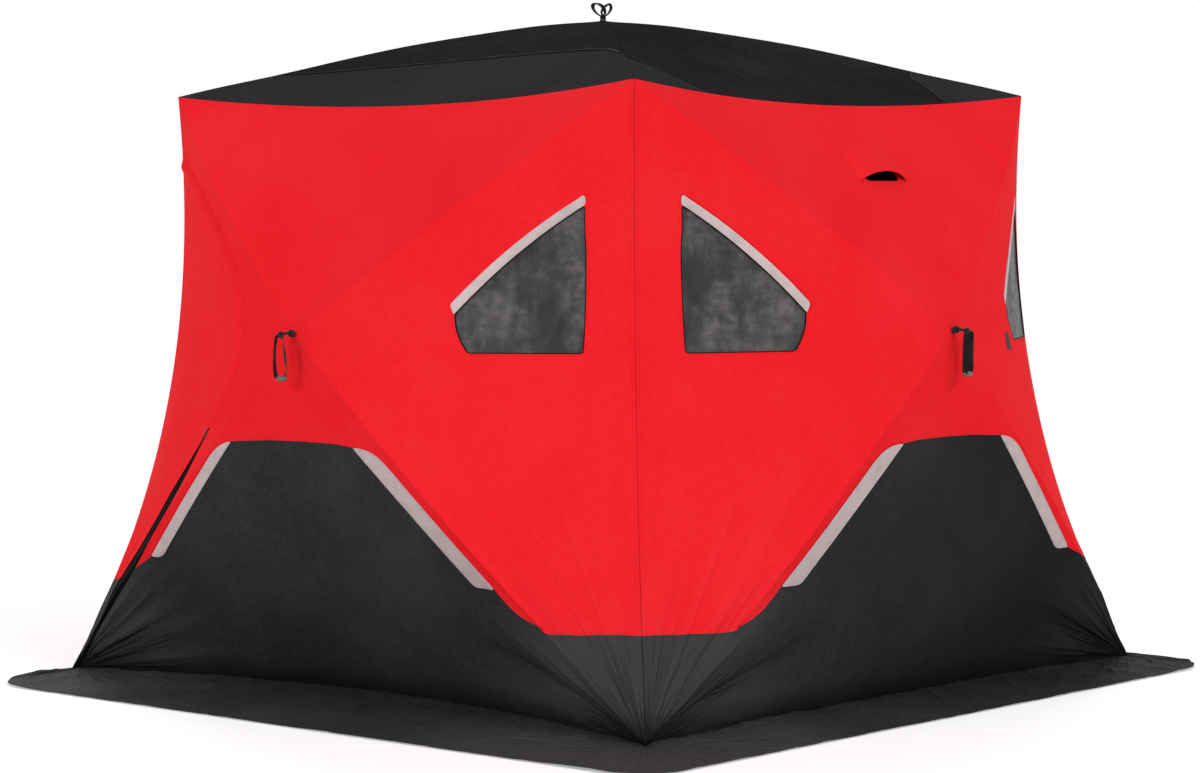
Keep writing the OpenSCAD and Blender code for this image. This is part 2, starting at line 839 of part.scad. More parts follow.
centred() wall_upper(FRONT_WALL);  // front_wall_upper
centred() wall_lower(FRONT_WALL);  // front_wall_lower
centred() wall_upper(RIGHT_WALL);  // right_wall_upper
centred() wall_lower(RIGHT_WALL);  // right_wall_lower
centred() wall_upper(BACK_WALL);  // back_wall_upper
centred() wall_lower(BACK_WALL);  // back_wall_lower
centred() wall_upper(LEFT_WALL);  // left_wall_upper
centred() wall_lower(LEFT_WALL);  // left_wall_lower
centred() roof_panel(FRONT_WALL);  // roof_front
centred() roof_panel(RIGHT_WALL);  // roof_right
centred() roof_panel(BACK_WALL);  // roof_back
centred() roof_panel(LEFT_WALL);  // roof_left
centred() skirt(FRONT_WALL);  // skirt_front
centred() skirt(RIGHT_WALL);  // skirt_right
centred() skirt(BACK_WALL);  // skirt_back
centred() skirt(LEFT_WALL);  // skirt_left
centred() door_flap();
centred() door_flap_foot();
centred() door_zip();
centred() panes(FRONT_WALL);  // front_window
centred() panes(RIGHT_WALL);  // right_windows
centred() panes(BACK_WALL);  // back_windows
centred() panes(LEFT_WALL);  // left_windows
centred() strips(FRONT_WALL);  // front_strips
centred() strips(RIGHT_WALL);  // right_strips
centred() strips(BACK_WALL);  // back_strips
centred() strips(LEFT_WALL);  // left_strips
centred() wall_poles(FRONT_WALL);  // front_poles
centred() wall_poles(RIGHT_WALL);  // right_poles
centred() wall_poles(BACK_WALL);  // back_poles
centred() wall_poles(LEFT_WALL);  // left_poles
centred() roof_poles();
centred() wall_hub(FRONT_WALL);  // front_hub
centred() wall_hub(RIGHT_WALL);  // right_hub
centred() wall_hub(BACK_WALL);  // back_hub
centred() wall_hub(LEFT_WALL);  // left_hub
centred() roof_hub();
centred() wall_strap(FRONT_WALL);  // front_strap
centred() wall_strap(RIGHT_WALL);  // right_strap
centred() wall_strap(BACK_WALL);  // back_strap
centred() wall_strap(LEFT_WALL);  // left_strap
centred() roof_strap();
centred() roof_corner_blocks();
centred() base_corner_blocks();
centred() vent_hoods();
centred() pull_tab();
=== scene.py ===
"""A pop-up ice fishing hut: quilted cloth pulled tight over bent poles and five hubs.

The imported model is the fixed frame. Every piece is built in metres round the hut's own middle,
which stands a little off the frame's origin, and is moved there as its mesh is made. The front
wall faces -Y and holds the door, the right wall faces +X, and the floor is at z = 0.
"""

import logging
import math
from dataclasses import dataclass, field
from enum import Enum
from typing import Sequence

import bpy
import numpy as np
from mathutils import Matrix, Vector
from mathutils.geometry import delaunay_2d_cdt


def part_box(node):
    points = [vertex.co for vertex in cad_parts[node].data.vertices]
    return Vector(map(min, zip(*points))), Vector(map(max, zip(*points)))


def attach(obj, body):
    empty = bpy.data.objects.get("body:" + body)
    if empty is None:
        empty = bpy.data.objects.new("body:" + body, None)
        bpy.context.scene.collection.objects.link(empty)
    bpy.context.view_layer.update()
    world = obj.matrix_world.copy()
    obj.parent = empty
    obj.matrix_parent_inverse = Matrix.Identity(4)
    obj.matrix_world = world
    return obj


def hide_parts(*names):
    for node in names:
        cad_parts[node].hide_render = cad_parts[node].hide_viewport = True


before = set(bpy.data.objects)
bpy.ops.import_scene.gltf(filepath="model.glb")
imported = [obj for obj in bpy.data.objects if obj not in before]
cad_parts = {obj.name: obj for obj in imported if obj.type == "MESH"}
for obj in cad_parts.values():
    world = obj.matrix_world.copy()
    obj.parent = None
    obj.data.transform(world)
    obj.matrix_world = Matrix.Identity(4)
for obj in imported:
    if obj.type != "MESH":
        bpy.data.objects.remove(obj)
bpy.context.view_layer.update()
LOG = logging.getLogger("hut")
BODY = "root"
MM = 0.001
UV = "cloth"
Array = np.ndarray
Pair = tuple[Array, Array]
Span = tuple[float, float]
Triple = tuple[float, float, float]
Piece = bpy.types.Object
Material = bpy.types.Material
Socket = bpy.types.NodeSocket


# ---- Small maths -----------------------------------------------------------


def bow(x: Array) -> Array:
    """A bow that is nothing at both ends and one in the middle."""
    return 4 * x * (1 - x)


def mix(a: Array, b: Array, x: Array) -> Array:
    """The points a share x of the way from a to b."""
    x = np.asarray(x, float)[..., None]
    return a * (1 - x) + b * x


def smooth(x: Array, low: float, high: float) -> Array:
    """Rises smoothly from 0 at low to 1 at high."""
    t = np.clip((x - low) / (high - low), 0, 1)
    return t * t * (3 - 2 * t)


def unit(v: Array) -> Array:
    """The vectors of v at length one."""
    return v / np.maximum(np.linalg.norm(v, axis=-1, keepdims=True), 1e-12)


def lattice(x: Array, y: Array, seed: int) -> Array:
    """Smooth random waves about one unit long, from -1 to 1.

    Args:
        x: First coordinate, in wavelengths.
        y: Second coordinate, in wavelengths.
        seed: Which field of waves.

    Returns:
        The height at each point.
    """
    xi, yi = np.floor(x).astype(np.int64), np.floor(y).astype(np.int64)
    fx, fy = x - xi, y - yi
    fx, fy = fx**3 * (fx * (6 * fx - 15) + 10), fy**3 * (fy * (6 * fy - 15) + 10)

    def corner(i: Array, j: Array) -> Array:
        """A random number for a lattice corner."""
        h = (i * 374761393 + j * 668265263 + seed * 974711) & 0xFFFFFFFF
        h = ((h ^ (h >> 13)) * 1274126177) & 0xFFFFFFFF
        return ((h ^ (h >> 16)) & 0xFFFF) / 32767.5 - 1

    low = corner(xi, yi) * (1 - fx) + corner(xi + 1, yi) * fx
    high = corner(xi, yi + 1) * (1 - fx) + corner(xi + 1, yi + 1) * fx
    return low * (1 - fy) + high * fy


def bezier(a: Sequence, b: Sequence, c: Sequence, d: Sequence, count: int) -> Array:
    """A cubic curve in count steps, from a toward b, and past c to d."""
    x = np.linspace(0, 1, count + 1)[:, None]
    y = 1 - x
    a, b, c, d = (np.asarray(p, float) for p in (a, b, c, d))
    return a * y**3 + 3 * b * x * y**2 + 3 * c * x**2 * y + d * x**3


def looped(line: Array) -> Array:
    """The line, closed by its first point."""
    return np.concatenate([line, line[:1]])


def circle(sides: int) -> Array:
    """Points of a circle with a radius of one."""
    a = np.linspace(0, 2 * math.pi, sides, endpoint=False)
    return np.stack([np.cos(a), np.sin(a)], 1)


def run_of(line: Array) -> Array:
    """How far along a line each of its points lies."""
    return np.concatenate([[0], np.cumsum(np.linalg.norm(np.diff(line, axis=0), axis=1))])


def left_of(line: Array) -> Array:
    """The direction to the left of a line in a plan, at each of its points."""
    d = unit(np.gradient(line, axis=0))
    return np.stack([-d[:, 1], d[:, 0]], 1)


def resample(line: Array, step: float) -> Array:
    """The same line with points about step apart."""
    length = run_of(line)
    count = max(2, int(round(length[-1] / step)) + 1)
    at = np.linspace(0, length[-1], count)
    return np.stack([np.interp(at, length, line[:, k]) for k in range(line.shape[1])], 1)


def offset_line(line: Array, distance: Array | float) -> Array:
    """The line moved sideways, to its left for a positive distance."""
    return line + left_of(line) * np.broadcast_to(np.asarray(distance, float), len(line))[:, None]


def spline(knots: Sequence, step: float) -> Array:
    """A smooth line through all the knots, with points about step apart."""
    k = np.asarray(knots, float)
    k = np.concatenate([2 * k[:1] - k[1:2], k, 2 * k[-1:] - k[-2:-1]])
    t = np.linspace(0, 1, 12, endpoint=False)[:, None]
    parts = []
    for a, b, c, d in zip(k[:-3], k[1:-2], k[2:-1], k[3:]):
        bend = 2 * a - 5 * b + 4 * c - d + t * (3 * (b - c) + d - a)
        parts.append(b + 0.5 * t * (c - a + t * bend))
    return resample(np.concatenate([*parts, k[-2:-1]]), step)


def distance_to(points: Array, line: Array) -> Array:
    """Each point's distance from a line."""
    far = np.full(len(points), np.inf)
    for a, b in zip(line[:-1], line[1:]):
        d = b - a
        t = np.clip(((points - a) @ d) / max(float(d @ d), 1e-12), 0, 1)
        far = np.minimum(far, np.linalg.norm(points - a - t[:, None] * d, axis=1))
    return far


def inside(points: Array, loop: Array) -> Array:
    """Whether each point lies inside a closed loop.

    Args:
        points: The points, as rows of two.
        loop: The loop's corners, as rows of two.

    Returns:
        A truth value for each point.
    """
    found = np.zeros(len(points), bool)
    x, y = points[:, 0], points[:, 1]
    for (x0, y0), (x1, y1) in zip(loop, np.roll(loop, -1, axis=0)):
        if y0 == y1:
            continue
        crosses = (y0 > y) != (y1 > y)
        found ^= crosses & (x < (x1 - x0) * (y - y0) / (y1 - y0) + x0)
    return found


def rounded(corners: Sequence, radii: Sequence[float], steps: int = 6) -> Array:
    """A polygon with each corner rounded to its own radius.

    Args:
        corners: The corners, as pairs.
        radii: One radius for each corner.
        steps: Points on each rounded corner, less one.

    Returns:
        The loop's points.
    """
    pts = np.asarray(corners, float)
    out = []
    for i, radius in enumerate(radii):
        before, here, after = pts[i - 1], pts[i], pts[(i + 1) % len(pts)]
        a, b = unit(before - here), unit(after - here)
        half = math.acos(float(np.clip(a @ b, -1, 1))) / 2
        shorter = min(np.linalg.norm(before - here), np.linalg.norm(after - here))
        cut = min(radius / math.tan(half), 0.48 * shorter)
        t = np.linspace(0, 1, steps + 1)[:, None]
        out.append((here + a * cut) * (1 - t) ** 2 + here * 2 * t * (1 - t) + (here + b * cut) * t**2)
    return np.concatenate(out)


# ---- The skin's shape ------------------------------------------------------


class Wall(Enum):
    """The four walls, by quarter turns from the front."""

    FRONT = 0
    RIGHT = 1
    BACK = 2
    LEFT = 3

    @property
    def label(self) -> str:
        """The wall's name in the names of its pieces."""
        return self.name.lower()

    @property
    def has_door(self) -> bool:
        """Whether the wall holds the door."""
        return self is Wall.FRONT

    @property
    def has_vent(self) -> bool:
        """Whether the wall has a vent near its top."""
        return self in (Wall.RIGHT, Wall.LEFT)

    @property
    def window_sides(self) -> tuple[int, ...]:
        """Which halves of the wall have a window, -1 for its left."""
        return (1,) if self.has_door else (1, -1)

    def toward_front(self, side: float) -> bool:
        """Whether one half of the wall ends at the corner between the front and right walls."""
        return (self, side > 0) in ((Wall.FRONT, True), (Wall.RIGHT, False))

    @property
    def out(self) -> Array:
        """The direction that the wall faces."""
        return self.stand(np.array([0.0, 1.0, 0.0]))

    def stand(self, points: Array) -> Array:
        """Turns [along, outward, up] into the hut's axes."""
        x, y = points[..., 0], -points[..., 1]
        for _ in range(self.value):
            x, y = -y, x
        return np.stack([x, y, points[..., 2]], -1)


@dataclass(frozen=True)
class Sizes:
    """The hut's driving sizes, in metres, as the frame has them."""

    base_half: float = (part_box("right_wall_lower")[1].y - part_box("right_wall_lower")[0].y) / 2
    roof_half: float = (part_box("roof_front")[1].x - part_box("roof_front")[0].x) / 2
    eave_h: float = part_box("right_wall_upper")[1].z
    roof_rise: float = 0.240
    hub_push: float = 0.155
    hub_h: float = 1.088
    cloth_t: float = 0.005
    skirt_t: float = 0.004
    seam_in: float = 0.102
    seam_skew: float = 0.25
    eave_sag: float = 0.050
    eave_in: float = 0.047
    pole_bow: float = 0.025
    ridge_bow: float = 0.022
    front_foot: Span = (0.180, 0.016)
    side_foot: Span = (0.036, 0.006)

    @property
    def middle(self) -> Array:
        """Where the hut's own middle stands in the frame, on the ground."""
        low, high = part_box("roof_hub")
        return np.array([(low.x + high.x) / 2, (low.y + high.y) / 2, 0.0])

    @property
    def apex_h(self) -> float:
        """Height of the roof's middle."""
        return self.eave_h + self.roof_rise

    @property
    def hub_out(self) -> float:
        """Distance of a wall's hub from the middle of the hut."""
        return self.base_half + self.hub_push

    def roof_corner(self, side: float, depth: float) -> Array:
        """A roof corner of the layer at a depth behind the outer face."""
        reach = self.roof_half - 0.7 * depth
        return np.array([side * reach, reach, self.eave_h - 0.85 * depth])

    def base_corner(self, side: float, depth: float) -> Array:
        """A base corner of the layer at a depth behind the outer face."""
        reach = self.base_half - depth
        return np.array([side * reach, reach, self.skirt_t])

    def seam(self, side: float, rise: Array, depth: float) -> Array:
        """The corner seam between two walls, from the floor up."""
        line = mix(self.base_corner(side, depth), self.roof_corner(side, depth), rise)
        pull = self.seam_in * bow(rise) * (1 + self.seam_skew * (0.5 - rise))
        return line - np.stack([side * pull, pull, 0 * pull], -1)

    def eave(self, x: Array, depth: float) -> Array:
        """The eave, from left to right."""
        line = mix(self.roof_corner(-1, depth), self.roof_corner(1, depth), x)
        return line - np.stack([0 * x, self.eave_in * bow(x), self.eave_sag * bow(x)], -1)

    def foot(self, wall: Wall, x: Array, depth: float) -> Array:
        """The wall's lower edge, from right to left."""
        line = mix(self.base_corner(1, depth), self.base_corner(-1, depth), x)
        pulled, raised = self.front_foot if wall.value % 2 == 0 else self.side_foot
        return line + np.stack([0 * x, -pulled * bow(x), raised * bow(x)], -1)

    def seam_half(self, up: Array) -> Array:
        """Half the wall's width at a height."""
        rise = np.clip((up - self.skirt_t) / (self.eave_h - self.skirt_t), 0, 1)
        return self.seam(1, rise, 0)[..., 0]


SIZES = Sizes()


class Surface:
    """A skin of triangular sectors round a hub, known by two of its three coordinates."""

    axes: tuple[int, int] = (0, 2)
    outward: Array = np.array([0.0, 1.0, 0.0])
    sectors: range = range(4)

    def __init__(self, wall: Wall) -> None:
        """Keeps which side of the hut the surface is on."""
        self.wall = wall

    def hub(self, depth: float) -> Array:
        """The point that the hub holds."""
        raise NotImplementedError

    def ends(self, sector: int, depth: float) -> Pair:
        """The two corners of a sector, clockwise."""
        raise NotImplementedError

    def edge(self, sector: int, x: Array, depth: float) -> Array:
        """The sector's outer edge, clockwise."""
        raise NotImplementedError

    def pole(self, end: Array, out: Array, depth: float) -> Array:
        """The crease over the pole from the hub to a corner."""
        raise NotImplementedError

    def relief(self, ab: Array) -> Array:
        """How far the cloth stands off its smooth shape."""
        raise NotImplementedError

    def point(self, sector: int, out: Array, x: Array, depth: float) -> Array:
        """A point from its share out of the way from the hub and across the sector."""
        a, b = self.ends(sector, depth)
        flat = mix(self.pole(a, out, depth), self.pole(b, out, depth), x)
        return flat + (out**2)[..., None] * (self.edge(sector, x, depth) - mix(a, b, x))

    def locate(self, ab: Array) -> tuple[Array, Array, Array]:
        """Finds where points of the plan lie on the surface.

        Args:
            ab: The points, by this surface's two axes.

        Returns:
            Each point's sector, share out from the hub, and share across the sector.
        """
        keep = list(self.axes)
        hub = self.hub(0)[keep]
        sector = np.zeros(len(ab), int)
        out, x = np.ones(len(ab)), np.full(len(ab), 0.5)
        best = np.full(len(ab), -np.inf)
        for s in self.sectors:
            a, b = (end[keep] - hub for end in self.ends(s, 0))
            share = (ab - hub) @ np.linalg.inv(np.stack([a, b]))
            fit = share.min(1)
            better = fit > best
            best = np.where(better, fit, best)
            sector = np.where(better, s, sector)
            total = np.maximum(share.sum(1), 1e-4)
            out = np.where(better, total, out)
            x = np.where(better, share[:, 1] / total, x)
        self.solve(ab, sector, out, x, np.ones(len(ab), bool))
        if len(self.sectors) > 1:
            past = (x > 1).astype(int) - (x < 0)
            sector = (sector + past) % len(self.sectors)
            x = np.where(past > 0, 0.01, np.where(past < 0, 0.99, x))
            self.solve(ab, sector, out, x, past != 0)
        return sector, out, x

    def solve(self, ab: Array, sector: Array, out: Array, x: Array, some: Array) -> None:
        """Refines some points' shares by Newton's method, in place, until they lie over the plan.

        Args:
            ab: The points, by this surface's two axes.
            sector: Each point's sector.
            out: Each point's share out from the hub.
            x: Each point's share across the sector.
            some: Which points to refine.
        """
        step, keep = 1e-5, list(self.axes)
        for s in self.sectors:
            mine = some & (sector == s)
            o, w, goal = out[mine], x[mine], ab[mine]
            if not len(o):
                continue
            for _ in range(7):
                here = self.point(s, o, w, 0)[:, keep]
                d_o = (self.point(s, o + step, w, 0)[:, keep] - here) / step
                d_w = (self.point(s, o, w + step, 0)[:, keep] - here) / step
                miss = goal - here
                det = d_o[:, 0] * d_w[:, 1] - d_o[:, 1] * d_w[:, 0]
                det = np.where(np.abs(det) < 1e-9, 1e-9, det)
                o = o + np.clip((miss[:, 0] * d_w[:, 1] - miss[:, 1] * d_w[:, 0]) / det, -0.2, 0.2)
                w = w + np.clip((miss[:, 1] * d_o[:, 0] - miss[:, 0] * d_o[:, 1]) / det, -0.2, 0.2)
                o = np.clip(o, 1e-4, 1.1)
            out[mine], x[mine] = o, w

    def smooth_at(self, ab: Array, depth: float = 0) -> Array:
        """The smooth skin over points of the plan, in [along, outward, up]."""
        sector, out, x = self.locate(ab)
        points = np.zeros((len(ab), 3))
        for s in self.sectors:
            mine = sector == s
            if mine.any():
                points[mine] = self.point(s, out[mine], x[mine], depth)
        return points

    def normals(self, ab: Array) -> Array:
        """The smooth skin's outward normals over points of the plan."""
        step = 2 * MM
        a, b = np.array([step, 0]), np.array([0, step])
        along = self.smooth_at(ab + a) - self.smooth_at(ab - a)
        across = self.smooth_at(ab + b) - self.smooth_at(ab - b)
        n = unit(np.cross(along, across))
        return n * np.sign(n @ self.outward)[:, None]

    def lay(self, ab: Array, lift: Array | float = 0.0) -> Array:
        """Points at a height over the cloth as it lies, folds and all, in the hut's axes."""
        return self.stood(self.smooth_at(ab) + self.normals(ab) * (self.relief(ab) + lift)[:, None])

    def stood(self, points: Array) -> Array:
        """Points of the skin in the hut's axes, none of them under the floor."""
        clear = points.copy()
        clear[:, 2] = np.maximum(points[:, 2], 0.0006)
        return self.wall.stand(clear)

    def layers(self, ab: Array, thickness: float, lift: float = 0.0) -> Pair:
        """The outer and inner faces of a layer of the cloth over points of the plan."""
        n, height = self.normals(ab), (self.relief(ab) + lift)[:, None]
        outer = self.smooth_at(ab) + n * height
        inner = self.smooth_at(ab, thickness) + n * height
        return self.stood(outer), self.stood(inner)


class WallSurface(Surface):
    """One wall's skin, known by along and up. Its sectors are top, right, foot and left."""

    foot_slack: Span = (0.011, 0.006)
    ridge_w: float = 0.011
    ridge_foot_w: float = 0.034
    ease_w: float = 0.090
    ease_depth: float = 0.0060
    hollow_near: float = 0.050
    hollow_far: float = 0.014

    def hub(self, depth: float) -> Array:
        """The point that the hub holds."""
        return np.array([0, SIZES.hub_out - depth, SIZES.hub_h])

    def pole_ends(self, corner: int) -> Pair:
        """The hub and a corner, in along and up."""
        return self.hub(0)[[0, 2]], self.ends(corner, 0)[0][[0, 2]]

    def beside_pole(self, ab: Array, corner: int) -> Pair:
        """How far points lie along and across the pole from the hub to a corner."""
        hub, end = self.pole_ends(corner)
        d = unit(end - hub)
        return (ab - hub) @ d, (ab - hub) @ np.array([-d[1], d[0]])

    def ends(self, sector: int, depth: float) -> Pair:
        """The two corners of a sector, clockwise."""
        ring = [
            SIZES.roof_corner(-1, depth),
            SIZES.roof_corner(1, depth),
            SIZES.base_corner(1, depth),
            SIZES.base_corner(-1, depth),
        ]
        return ring[sector], ring[(sector + 1) % 4]

    def edge(self, sector: int, x: Array, depth: float) -> Array:
        """The sector's outer edge, clockwise."""
        if sector == 0:
            return SIZES.eave(x, depth)
        if sector == 1:
            return SIZES.seam(1, 1 - x, depth)
        if sector == 2:
            return SIZES.foot(self.wall, x, depth)
        return SIZES.seam(-1, x, depth)

    def pole(self, end: Array, out: Array, depth: float) -> Array:
        """The crease over the pole from the hub to a corner."""
        hub = self.hub(depth)
        line = end - hub
        lift = unit(self.outward - line * (line @ self.outward) / (line @ line))
        slack = self.foot_slack[self.wall.value % 2] if end[2] < SIZES.hub_h else 0.0
        return hub + line * out[..., None] + lift * ((SIZES.pole_bow + slack) * bow(out))[..., None]

    def outline(self, steps: int = 150) -> Array:
        """The wall's outline in along and up."""
        x = np.linspace(0, 1, steps, endpoint=False)
        return np.concatenate([self.edge(s, x, 0) for s in self.sectors])[:, [0, 2]]

    def relief(self, ab: Array) -> Array:
        """Folds, ridges over the poles and slack of the wall's cloth."""
        s, z = ab[:, 0], ab[:, 1]
        seed = 11 * (self.wall.value + 1)
        to_seam = SIZES.seam_half(z) - np.abs(s)
        sag = SIZES.eave_sag * bow(np.clip((s / SIZES.roof_half + 1) / 2, 0, 1))
        to_eave = SIZES.eave_h - sag - z
        height = 1.6 * MM * lattice(s * 3.1, z * 2.7, seed) + 0.5 * MM * lattice(s * 11, z * 9, seed + 1)
        for corner in range(4):
            along, across = self.beside_pole(ab, corner)
            reach = smooth(along, 0.03, 0.12)
            height += 1.5 * MM * np.exp(-((across / self.ridge_w) ** 2)) * reach
            height -= 0.7 * MM * np.exp(-((across / self.ridge_foot_w) ** 2)) * reach
        for side in (-1, 1):
            height += self.fan(ab, side, seed)
        height += self.foot_ripples(ab, seed)
        height += self.eased_crease(ab)
        pucker = np.sin(z * 2 * math.pi / 0.034 + 2.2 * lattice(z * 7, 0 * z, seed + 5))
        height += 0.35 * MM * pucker * np.exp(-to_seam / 0.03)
        height *= smooth(to_seam, 0.0, 0.030) * smooth(to_eave, 0.0, 0.035) * smooth(z, -0.02, 0.05)
        return height - 1.3 * MM * np.exp(-np.maximum(to_seam, 0) / 0.004)

    def eased_crease(self, ab: Array) -> Array:
        """What rounds off the crease over the lower poles, where padding hides them."""
        height = np.zeros(len(ab))
        for corner in (2, 3):
            hub, end = self.pole_ends(corner)
            along, across = self.beside_pole(ab, corner)
            share = along / float(np.linalg.norm(end - hub))
            soft = np.maximum(0, 1 - np.abs(across) / self.ease_w) ** 2
            height -= self.ease_depth * soft * smooth(share, 0.45, 0.7) * (1 - smooth(share, 0.93, 1.0))
        return height

    def fan(self, ab: Array, side: int, seed: int) -> Array:
        """The folds that fan up from a base corner, where the cloth is staked."""
        run = SIZES.base_half - side * ab[:, 0]
        rise = ab[:, 1]
        r = np.hypot(run, rise)
        turn = np.arctan2(rise, run)
        wander = turn + 0.05 * lattice(r * 4, 0 * r, seed + side + 20)
        folds = np.zeros(len(ab))
        for count, weight, salt in ((6.5, 0.85, 31), (12.0, 0.75, 41), (21.0, 0.5, 51)):
            wave = lattice(wander * count, r * 1.3, seed + side + salt)
            folds += weight * (1 - 2.2 * np.abs(wave)) * 6.5 / count**0.8 / 6.5**0.2
        strength = smooth(r, 0.0, 0.10) * (1 - smooth(r, 0.26, 0.78))
        deep = 0.9 + 0.5 * np.exp(-(((turn - 0.75) / 0.3) ** 2)) + 0.3 * lattice(wander * 3, 0 * r, seed + 60)
        hollow = np.exp(-(((turn - 0.27) / 0.14) ** 2)) * smooth(r, 0.04, 0.30) * (1 - smooth(r, 0.4, 0.95))
        hollow *= -(self.hollow_near if self.wall.toward_front(side) else self.hollow_far)
        return 0.020 * r * folds * strength * deep + hollow * smooth(turn, 0.0, 0.12)

    def foot_ripples(self, ab: Array, seed: int) -> Array:
        """Slack cloth just above the floor."""
        s, z = ab[:, 0], ab[:, 1]
        ripples = 4.5 * lattice(s * 9, z * 3, seed + 71) + 1.8 * lattice(s * 24, z * 5, seed + 72)
        return ripples * MM * np.exp(-z / 0.075)


class RoofSurface(Surface):
    """One roof panel's skin, known by along and outward."""

    axes = (0, 1)
    outward = np.array([0.0, 0.0, 1.0])
    sectors = range(1)
    long_seam = (
        (-0.72, 0.72),
        (-0.516, 0.655),
        (-0.305, 0.603),
        (-0.053, 0.554),
        (0.222, 0.539),
        (0.498, 0.580),
        (0.66, 0.66),
    )
    corner_seam = ((-0.72, 0.715), (-0.686, 0.705), (-0.639, 0.741), (-0.616, 0.803), (-0.581, 0.90))

    def hub(self, depth: float) -> Array:
        """The point that the roof's hub holds."""
        return np.array([0, 0, SIZES.apex_h - depth])

    def ends(self, sector: int, depth: float) -> Pair:
        """The panel's two corners."""
        return SIZES.roof_corner(-1, depth), SIZES.roof_corner(1, depth)

    def edge(self, sector: int, x: Array, depth: float) -> Array:
        """The eave."""
        return SIZES.eave(x, depth)

    def pole(self, end: Array, out: Array, depth: float) -> Array:
        """The crease over the pole from the roof's hub to a corner."""
        slack = 0.008 * smooth(out, 0.0, 0.18) * (1 - smooth(out, 0.42, 0.72))
        slack -= 0.003 * np.exp(-(((out - 0.78) / 0.1) ** 2))
        lift = np.array([0, 0, 1.0]) * (SIZES.ridge_bow * bow(out) + slack)[..., None]
        return mix(self.hub(depth), end, out) + lift

    def outline(self, steps: int = 110) -> Array:
        """The panel's outline in along and outward."""
        x = np.linspace(0, 1, steps)
        a, b = (end[:2] for end in self.ends(0, 0))
        eave = self.edge(0, x, 0)[:, :2]
        tip = 0.006
        left = mix(a * tip, a, x)[:-1]
        right = mix(b, b * tip, x)[1:]
        return np.concatenate([left, eave, right])

    def seams(self) -> list[Array]:
        """The lines where the edge's wide band is sewn on, round the front and the back."""
        if self.wall.value % 2 == 0:
            return [spline(self.long_seam, 0.012)]
        corner = spline(self.corner_seam, 0.010)
        return [corner, corner[::-1] * [-1, 1]]

    def in_band(self, points: Array) -> Array:
        """Whether each point lies on the band, between its seam and the eave."""
        found = np.zeros(len(points), bool)
        for line in self.seams():
            if self.wall.value % 2 == 0:
                past = [[1.5, 1.5], [-1.5, 1.5]]
            else:
                line = line if line[0][1] < line[-1][1] else line[::-1]
                low, high, side = line[0], line[-1], math.copysign(2.0, line[0][0])
                past = [[high[0], 1.5], [side, 1.5], [side, low[1] - 0.3], [low[0], low[1] - 0.1]]
            found |= inside(points, np.concatenate([line, past]))
        return found

    def relief(self, ab: Array) -> Array:
        """Slack of the roof's cloth and ridges over its poles."""
        s, o = ab[:, 0], ab[:, 1]
        seed = 101 + 7 * self.wall.value
        to_ridge = np.abs(o - np.abs(s)) / math.sqrt(2)
        to_eave = SIZES.roof_half - SIZES.eave_in * bow(np.clip((s / SIZES.roof_half + 1) / 2, 0, 1)) - o
        height = 2.2 * MM * lattice(s * 3.3, o * 2.9, seed) + 0.7 * MM * lattice(s * 10, o * 12, seed + 1)
        height += 1.6 * MM * lattice(s * 14, o * 2.2, seed + 2) * np.exp(-np.maximum(to_eave, 0) / 0.07)
        height *= smooth(to_ridge, 0.0, 0.05) * smooth(to_eave, -0.001, 0.03)
        for line in self.seams():
            away = distance_to(ab, line)
            height -= 1.6 * MM * np.exp(-((away / 0.006) ** 2)) * smooth(to_ridge, 0.0, 0.01)
        return height + 1.4 * MM * np.exp(-((to_ridge / 0.010) ** 2)) * smooth(o, 0.02, 0.08)


# ---- Meshes ----------------------------------------------------------------


def mesh_object(
    name: str,
    points: Array,
    triangles: Array,
    materials: Sequence[Material],
    which: Array | int = 0,
    uv: Array | None = None,
    crease: float = 35,
) -> Piece:
    """Makes a mesh piece that rides on the hut.

    Args:
        name: The piece's name.
        points: Its vertices, in the hut's axes.
        triangles: Its faces, as rows of three or four vertex numbers.
        materials: Its materials.
        which: The number of each face's material.
        uv: Each vertex's place on the cloth, in metres, given once for a sheet's two faces.
        crease: Edges sharper than this many degrees stay sharp.

    Returns:
        The new object.
    """
    mesh = bpy.data.meshes.new(name)
    triangles = np.asarray(triangles, np.int32)
    count, size = triangles.shape
    mesh.vertices.add(len(points))
    mesh.vertices.foreach_set("co", np.asarray(points + SIZES.middle, np.float32).ravel())
    mesh.loops.add(count * size)
    mesh.loops.foreach_set("vertex_index", triangles.ravel())
    mesh.polygons.add(count)
    mesh.polygons.foreach_set("loop_start", np.arange(0, count * size, size, dtype=np.int32))
    for material in materials:
        mesh.materials.append(material)
    chosen = np.broadcast_to(np.asarray(which, np.int32), count)
    mesh.polygons.foreach_set("material_index", np.ascontiguousarray(chosen))
    mesh.update(calc_edges=True)
    mesh.validate()
    mesh.shade_smooth()
    if crease < 180:
        mesh.set_sharp_from_angle(angle=math.radians(crease))
    if uv is not None:
        layer = mesh.uv_layers.new(name=UV)
        places = np.resize(uv, (len(points), 2)).astype(np.float32)
        layer.uv.foreach_set("vector", places[triangles.ravel()].ravel())
    obj = bpy.data.objects.new(name, mesh)
    bpy.context.scene.collection.objects.link(obj)
    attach(obj, BODY)
    return obj


